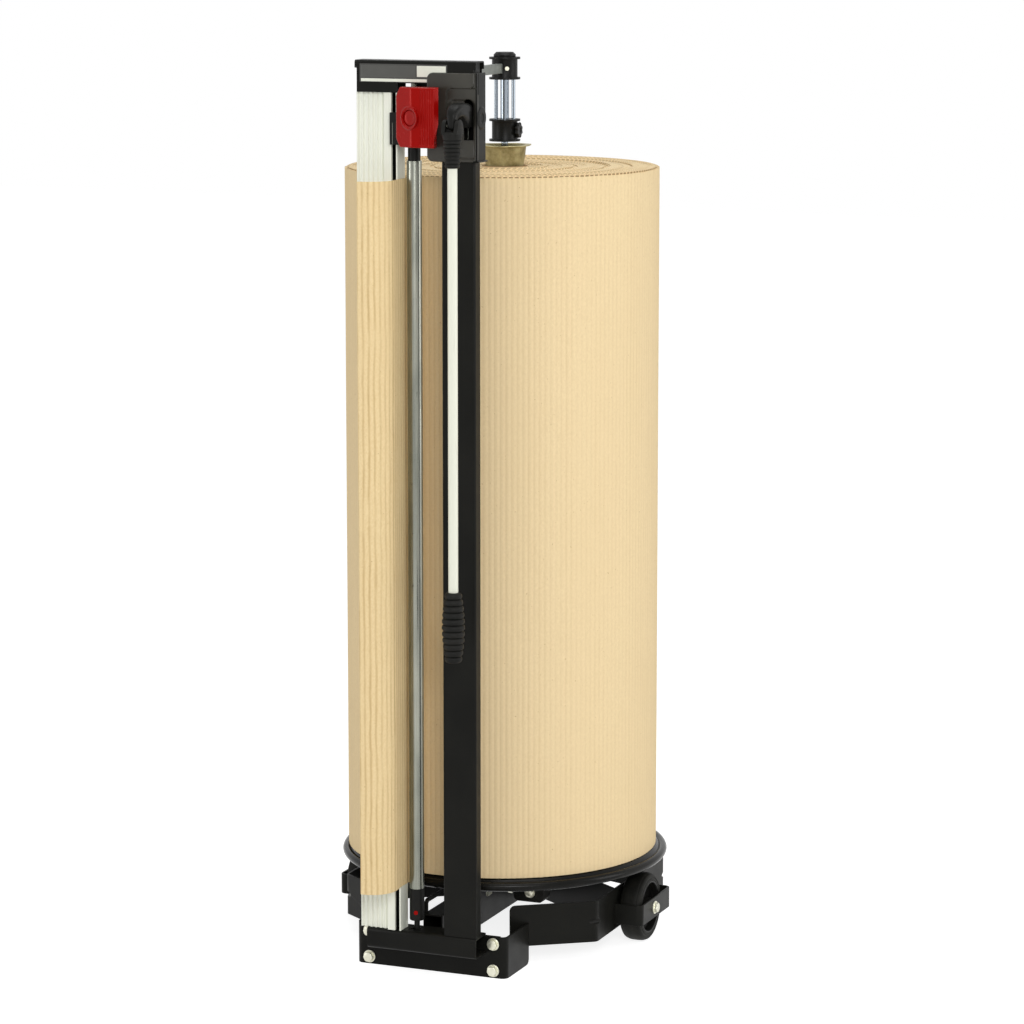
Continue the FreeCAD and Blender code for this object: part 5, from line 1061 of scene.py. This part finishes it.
def label_print():
    """Plain light panel and line and a slightly lighter field on the bare label plate, as thin films."""
    low, high = span("label_plate")
    left, front, bottom = (low / MM).tolist()
    right, _, top = (high / MM).tolist()
    films = (("label_panel", LABEL_LIGHT, (left + 86.0, right - 2.0), (bottom + 8.0, top - 2.0)),
             ("label_line", LABEL_LIGHT, (left + 2.0, right - 20.0), (bottom + 0.8, bottom + 4.8)),
             ("label_field", LABEL_FIELD, (left + 2.0, left + 84.0), (bottom + 6.5, top - 2.0)))
    for name, finish, x, z in films:
        across, up = np.meshgrid(columns_with(*x, 1.0), columns_with(*z, 0.8))
        rim = nearest(across - x[0], x[1] - across, up - z[0], z[1] - up)
        face = front - 0.15 + roll_off(rim, 0.12)
        outer = np.stack([across, face, up], -1) * MM
        inner = np.stack([across, np.full_like(up, front + 0.1), up], -1) * MM
        shell(name, outer, inner, "label_plate", replaces=False, finish=finish)


# ---- rocker, yoke and grip ---------------------------------------------------
def gooseneck():
    """Rocker arm: a rounded oblong carried along a smooth line of places, depths and widths.

    The line leaves the slot deep and narrow, swells into the neck, and bends down into the narrow eye.
    """
    pivot = middle("pivot_pin")
    x = middle("rocker_arm")[0]
    control = [(6.2, -1, 0.0, 0.0), (6.0, -1, 5.0, 5.6), (3, -1, 8.5, 6.1), (-6, 0, 14.0, 6.1),
               (-13, 2, 16.5, 6.1), (-19, 4.5, 16.0, 7.6), (-27, 7.5, 14.2, 10.2), (-36, 10.8, 12.2, 10.6),
               (-46, 13.2, 10.4, 10.6),
               (-56, 13.2, 9.4, 10.3), (-63.5, 10.6, 8.6, 9.4), (-67.4, 5.5, 7.6, 7.2), (-68, 0.5, 7.0, 6.15),
               (-68, -5, 6.9, 6.1), (-68, -10, 6.2, 6.0), (-68, -13.2, 3.6, 4.6), (-68, -13.9, 0.0, 0.0)]
    line = spline(control, 90) * MM
    path, half_deep, half_wide = line[:, :2], line[:, 2:3], line[:, 3:4]
    along = np.gradient(path, axis=0)
    along /= np.maximum(np.linalg.norm(along, axis=1), 1e-9)[:, None]
    normal = np.stack([-along[:, 1], along[:, 0]], -1)
    wide, deep = oblong(np.linspace(0, TAU, 44, endpoint=False)[None, :], 0.62)
    wide, deep = wide * half_wide, deep * half_deep
    wide = wide * (1 - 0.12 * np.exp(-(deep / np.maximum(half_deep * 0.42, 1e-6)) ** 2))
    yz = path[:, None, :] + normal[:, None, :] * deep[..., None]
    grid = np.stack([x + wide, pivot[1] + yz[..., 0], pivot[2] + yz[..., 1]], -1)
    return surface("gooseneck_arm", grid, "rocker_arm", along=True, caps=True, sharp=60.0)


def yoke():
    """Yoke on the arm's eye: its base, its two ears and the ribbed boot below."""
    low, high = levels("pull_yoke")
    base_high = middle("yoke_pin")[2] / MM - 8.0
    base_low = base_high - 11.0
    yoke_base(base_low, base_high)
    yoke_ears(base_high - 3.0, high)
    yoke_boot(low, base_low)


def yoke_base(low, high):
    """Block between ears and boot: a rounded oblong that widens upwards and rolls off at its top."""
    centre = middle("pull_yoke")
    share = np.array((0.0, 0.12, 0.5, 0.9, 0.97, 1.0))[:, None]
    inset = np.array((0.0, 0.0, 0.0, 0.0, 0.4, 1.2))[:, None]
    x, y = oblong(np.linspace(0, TAU, 64, endpoint=False)[None, :], 1 - 0.25 * share)
    x = x * (12.6 + 0.8 * ramp01(share - 0.3, 0.6) - inset)
    y = y * (12.6 - inset)
    z = np.broadcast_to(low + (high - low) * share, x.shape)
    grid = np.stack([centre[0] + x * MM, centre[1] + y * MM, z * MM], -1)
    return surface("yoke_base", grid, "pull_yoke", along=True, caps=True)


def yoke_ears(low, top):
    """Two ears that narrow upwards and end in a half round, domed on the outside and flat inside."""
    centre = middle("pull_yoke")
    turn = top - 8.0
    rise = np.concatenate([np.linspace(low, turn, 8), turn + 8.0 * np.sin(np.linspace(0.15, 1.5708, 9))])
    slim = np.interp(rise, [low, turn], [12.4, 8.6])
    slim = np.where(rise > turn, 8.6 * np.sqrt(np.clip(1 - ((rise - turn) / 8.0) ** 2, 0, 1)), slim)
    y = np.linspace(-1, 1, 24)[None, :] * slim[:, None]
    dome = 13.2 - 1.9 * (y / 12.9) ** 2 - 1.6 * np.clip((rise[:, None] - top + 9.0) / 9.0, 0, 1) ** 2
    outer = np.stack([dome, y], -1)
    inner = np.stack([np.full_like(y, 6.55), y], -1)[:, ::-1]
    loop = np.concatenate([outer, inner], 1)
    z = np.broadcast_to(rise[:, None], loop.shape[:2]) * MM
    for name, sign in (("yoke_ear_left", -1.0), ("yoke_ear_right", 1.0)):
        grid = np.stack([centre[0] + sign * loop[..., 0] * MM, centre[1] + loop[..., 1] * MM, z], -1)
        surface(name, grid, "pull_yoke", along=True, caps=True, sharp=45.0)


def yoke_boot(bottom, top):
    """Soft boot, turned: seven ribs, each half a sine wave, on a cone that widens upwards; bore inside."""
    ribs = 7
    bore = 6.85
    height = np.linspace(bottom, top + 0.5, ribs * 14 + 1)
    share = (height - bottom) / (top - bottom)
    rib = np.abs(np.sin(math.pi * np.clip(share, 0, 1) * ribs)) ** 0.6
    radius = 10.2 + 2.6 * share - 1.7 * (1 - rib)
    line = [(bore, bottom)] + list(zip(radius.tolist(), height.tolist())) + [(bore, top + 0.5)]
    return upright("yoke_boot", line, "pull_yoke", steps=72, sharp=70.0)


def grip():
    """Barrel grip, turned: eleven rings, each half a sine wave, on a sine barrel; both ends are closed."""
    bottom, top = levels("rod_grip")
    rings = 11
    share = np.linspace(0, 1, rings * 16 + 1)
    barrel = 11.5 + 4.5 * np.sin(math.pi * share)
    ring = np.abs(np.sin(math.pi * share * rings)) ** 0.55
    radius = barrel - 2.7 * (1 - ring)
    height = bottom + (top - bottom) * share
    line = [(0.0, bottom)] + list(zip(radius.tolist(), height.tolist())) + [(6.9, top), (0.0, top - 1.0)]
    return upright("grip_barrel", line, "rod_grip", steps=72, sharp=70.0)


# ---- edges of the frame's own sheets -----------------------------------------
def soften_edges():
    """Small bevel on the sheet parts that stay as they are; their loose corners are welded first."""
    for node, width in EDGES.items():
        piece = nodes[node]
        weld = piece.modifiers.new("weld", "WELD")
        weld.merge_threshold = 1e-5
        bevel = piece.modifiers.new("bevel", "BEVEL")
        bevel.width = width * MM
        bevel.segments = 2
        bevel.limit_method = "ANGLE"
        bevel.angle_limit = math.radians(40)
        bevel.harden_normals = False


EDGES = {
    "mast": 0.5, "header": 0.5, "front_bracket": 0.6, "crossbar": 0.6, "right_leg": 0.5, "left_leg": 0.5,
    "right_wheel_strap": 0.6, "left_wheel_strap": 0.6, "right_cross_plate": 0.5, "left_cross_plate": 0.5,
    "upper_collar": 0.5, "lower_collar": 0.5, "rod_cap": 0.5, "centring_arm": 0.6, "brake_link": 0.6,
    "brake_lug": 0.6, "brake_block": 0.8, "label_plate": 0.15, "spine": 0.6, "fluted_profile": 0.3,
}


# ---- stage -------------------------------------------------------------------
def seen_directly(tree):
    """One for camera, glossy and transmission rays, and zero for the light that falls on surfaces."""
    path = tree.nodes.new("ShaderNodeLightPath")
    total = path.outputs["Is Camera Ray"]
    for kind in ("Is Glossy Ray", "Is Transmission Ray"):
        either = tree.nodes.new("ShaderNodeMath")
        either.operation = "MAXIMUM"
        tree.links.new(total, either.inputs[0])
        tree.links.new(path.outputs[kind], either.inputs[1])
        total = either.outputs[0]
    return total


def white_floor():
    """Pale floor: seen directly it glows a little below white and adds its lit share, which keeps shadows."""
    made = Finish("floor_white", (0.8, 0.8, 0.8, 1), 0.9)
    tree = made.tree
    lit = made.node("ShaderNodeBsdfDiffuse", Color=(FLOOR_LIT, FLOOR_LIT, FLOOR_LIT, 1))
    glow = made.node("ShaderNodeEmission", Color=(1, 1, 1, 1), Strength=FLOOR_GLOW)
    both = tree.nodes.new("ShaderNodeAddShader")
    tree.links.new(lit.outputs[0], both.inputs[0])
    tree.links.new(glow.outputs[0], both.inputs[1])
    mixed = tree.nodes.new("ShaderNodeMixShader")
    tree.links.new(seen_directly(tree), mixed.inputs[0])
    tree.links.new(made.shader.outputs[0], mixed.inputs[1])
    tree.links.new(both.outputs[0], mixed.inputs[2])
    tree.links.new(mixed.outputs[0], tree.nodes["Material Output"].inputs["Surface"])
    return made.material


def studio():
    """White floor and surroundings, and the soft lamps of the table below."""
    scene = bpy.context.scene
    world = bpy.data.worlds.new("studio")
    scene.world = world
    world.use_nodes = True
    tree = world.node_tree
    back = tree.nodes["Background"]
    back.inputs[0].default_value = (1, 1, 1, 1)
    level = tree.nodes.new("ShaderNodeMapRange")
    tree.links.new(seen_directly(tree), level.inputs["Value"])
    level.inputs["To Min"].default_value = WORLD_LEVEL
    level.inputs["To Max"].default_value = 1.0
    tree.links.new(level.outputs[0], back.inputs[1])

    half = 12.0
    points = np.array([(-half, -half, 0), (half, -half, 0), (half, half, 0), (-half, half, 0)], float)
    mesh = bpy.data.meshes.new("floor")
    mesh.from_pydata(points.tolist(), [], [(0, 1, 2, 3)])
    floor = bpy.data.objects.new("floor", mesh)
    scene.collection.objects.link(floor)
    floor.data.materials.append(white_floor())

    for name, place, size, power in LAMPS:
        light = bpy.data.lights.new(name, "AREA")
        light.shape = "RECTANGLE"
        light.size, light.size_y = size
        light.energy = power
        lamp = bpy.data.objects.new(name, light)
        lamp.location = place
        aim = np.array(AIM) - np.array(place)
        flat = math.hypot(aim[0], aim[1])
        lamp.rotation_euler = (math.atan2(flat, -aim[2]), 0, math.atan2(-aim[0], aim[1]))
        scene.collection.objects.link(lamp)


FLOOR_GLOW = 0.84
FLOOR_LIT = 0.45
WORLD_LEVEL = 0.38
AIM = (0.0, 0.0, 0.7)
LAMPS = (
    ("key", (2.1, -3.75, 2.4), (1.5, 1.5), 76.0),
    ("left_strip", (-2.8, -2.6, 1.3), (0.7, 2.0), 28.0),
    ("right_strip", (3.15, 0.6, 1.3), (1.3, 2.2), 28.0),
    ("top", (0.2, -0.2, 3.6), (1.8, 1.8), 36.0),
)


def camera():
    """Camera a little right of the front and just above the stand."""
    lens = bpy.data.cameras.new("camera")
    lens.sensor_width = 36.0
    lens.lens = CAMERA_LENS
    lens.shift_y = CAMERA_SHIFT
    view = bpy.data.objects.new("camera", lens)
    view.location = CAMERA_PLACE
    view.rotation_euler = (math.radians(90.0 - CAMERA_PITCH), 0, math.radians(CAMERA_AZIMUTH))
    bpy.context.scene.collection.objects.link(view)
    bpy.context.scene.camera = view


CAMERA_LENS = 130.27
CAMERA_SHIFT = -0.08
CAMERA_PLACE = (2.0529, -4.8836, 1.5203)
CAMERA_PITCH = 8.256
CAMERA_AZIMUTH = 22.367


# ---- finishes of the frame's own parts and of the pieces that stand for them ----
COAT = powder_coat()
DISC = disc_coat()
HOUSING_COAT = housing_coat()
PLASTIC = black_plastic()
RUBBER = black_rubber()
RED = red_cover()
ALUMINIUM = lined_aluminium()
ENAMEL = white_enamel()
STEEL = drawn_steel()
CHROME = chromed_steel()
ZINC = zinc_bolts()
CUP_ZINC = yellow_zinc()
GREY = grey_bar()
TYRE = tyre_rubber()
ROLL_PAPER = roll_paper()
WEB_PAPER = web_paper()
CORE = core_paper()
LABEL = label_film("label_film", (46, 46, 43), (58, 58, 54))
LABEL_FIELD = label_film("label_field", (60, 60, 56), (72, 72, 68))
LABEL_LIGHT = label_film("label_light", (216, 218, 204), (232, 234, 220))
WRAP_PAPER = wrap_paper()

SLOT_FINISH = {
    "black_frame": COAT, "zinc_bolt": ZINC, "aluminium_profile": ALUMINIUM, "bright_steel": STEEL,
    "black_plastic": PLASTIC, "black_rubber": RUBBER, "tyre": TYRE, "red_plastic": RED,
    "white_rod": ENAMEL, "label": LABEL, "zinc_cup": CUP_ZINC, "grey_bar": GREY, "cardboard": ROLL_PAPER,
}
NODE_FINISH = {
    "roll_core": CORE, "carrier_rods": CHROME, "cup_axle": CHROME, "turntable": DISC, "housing": HOUSING_COAT,
    "tube_foot_stud": PLASTIC,
}


def dress_frame():
    """Give every node of the frame the finish of its slot."""
    for part in frame["record"]["subparts"]:
        piece = nodes[part["node"]]
        finish = NODE_FINISH.get(part["node"], SLOT_FINISH[part["material_slot"]])
        piece.data.materials.clear()
        piece.data.materials.append(finish)


dress_frame()
soften_edges()
roll_side()
roll_top()
web()
disc()
for side in ("right", "left"):
    tyre(side)
    wheel_hub(side)
    axle(side)
frame_bolts()
brake_bolt()
tube_and_rod()
cup()
knob()
cover()
press_button()
housing_pressing()
housing_side()
housing_flange()
label_print()
gooseneck()
yoke()
grip()
studio()
camera()
bpy.context.scene.view_settings.view_transform = "Standard"
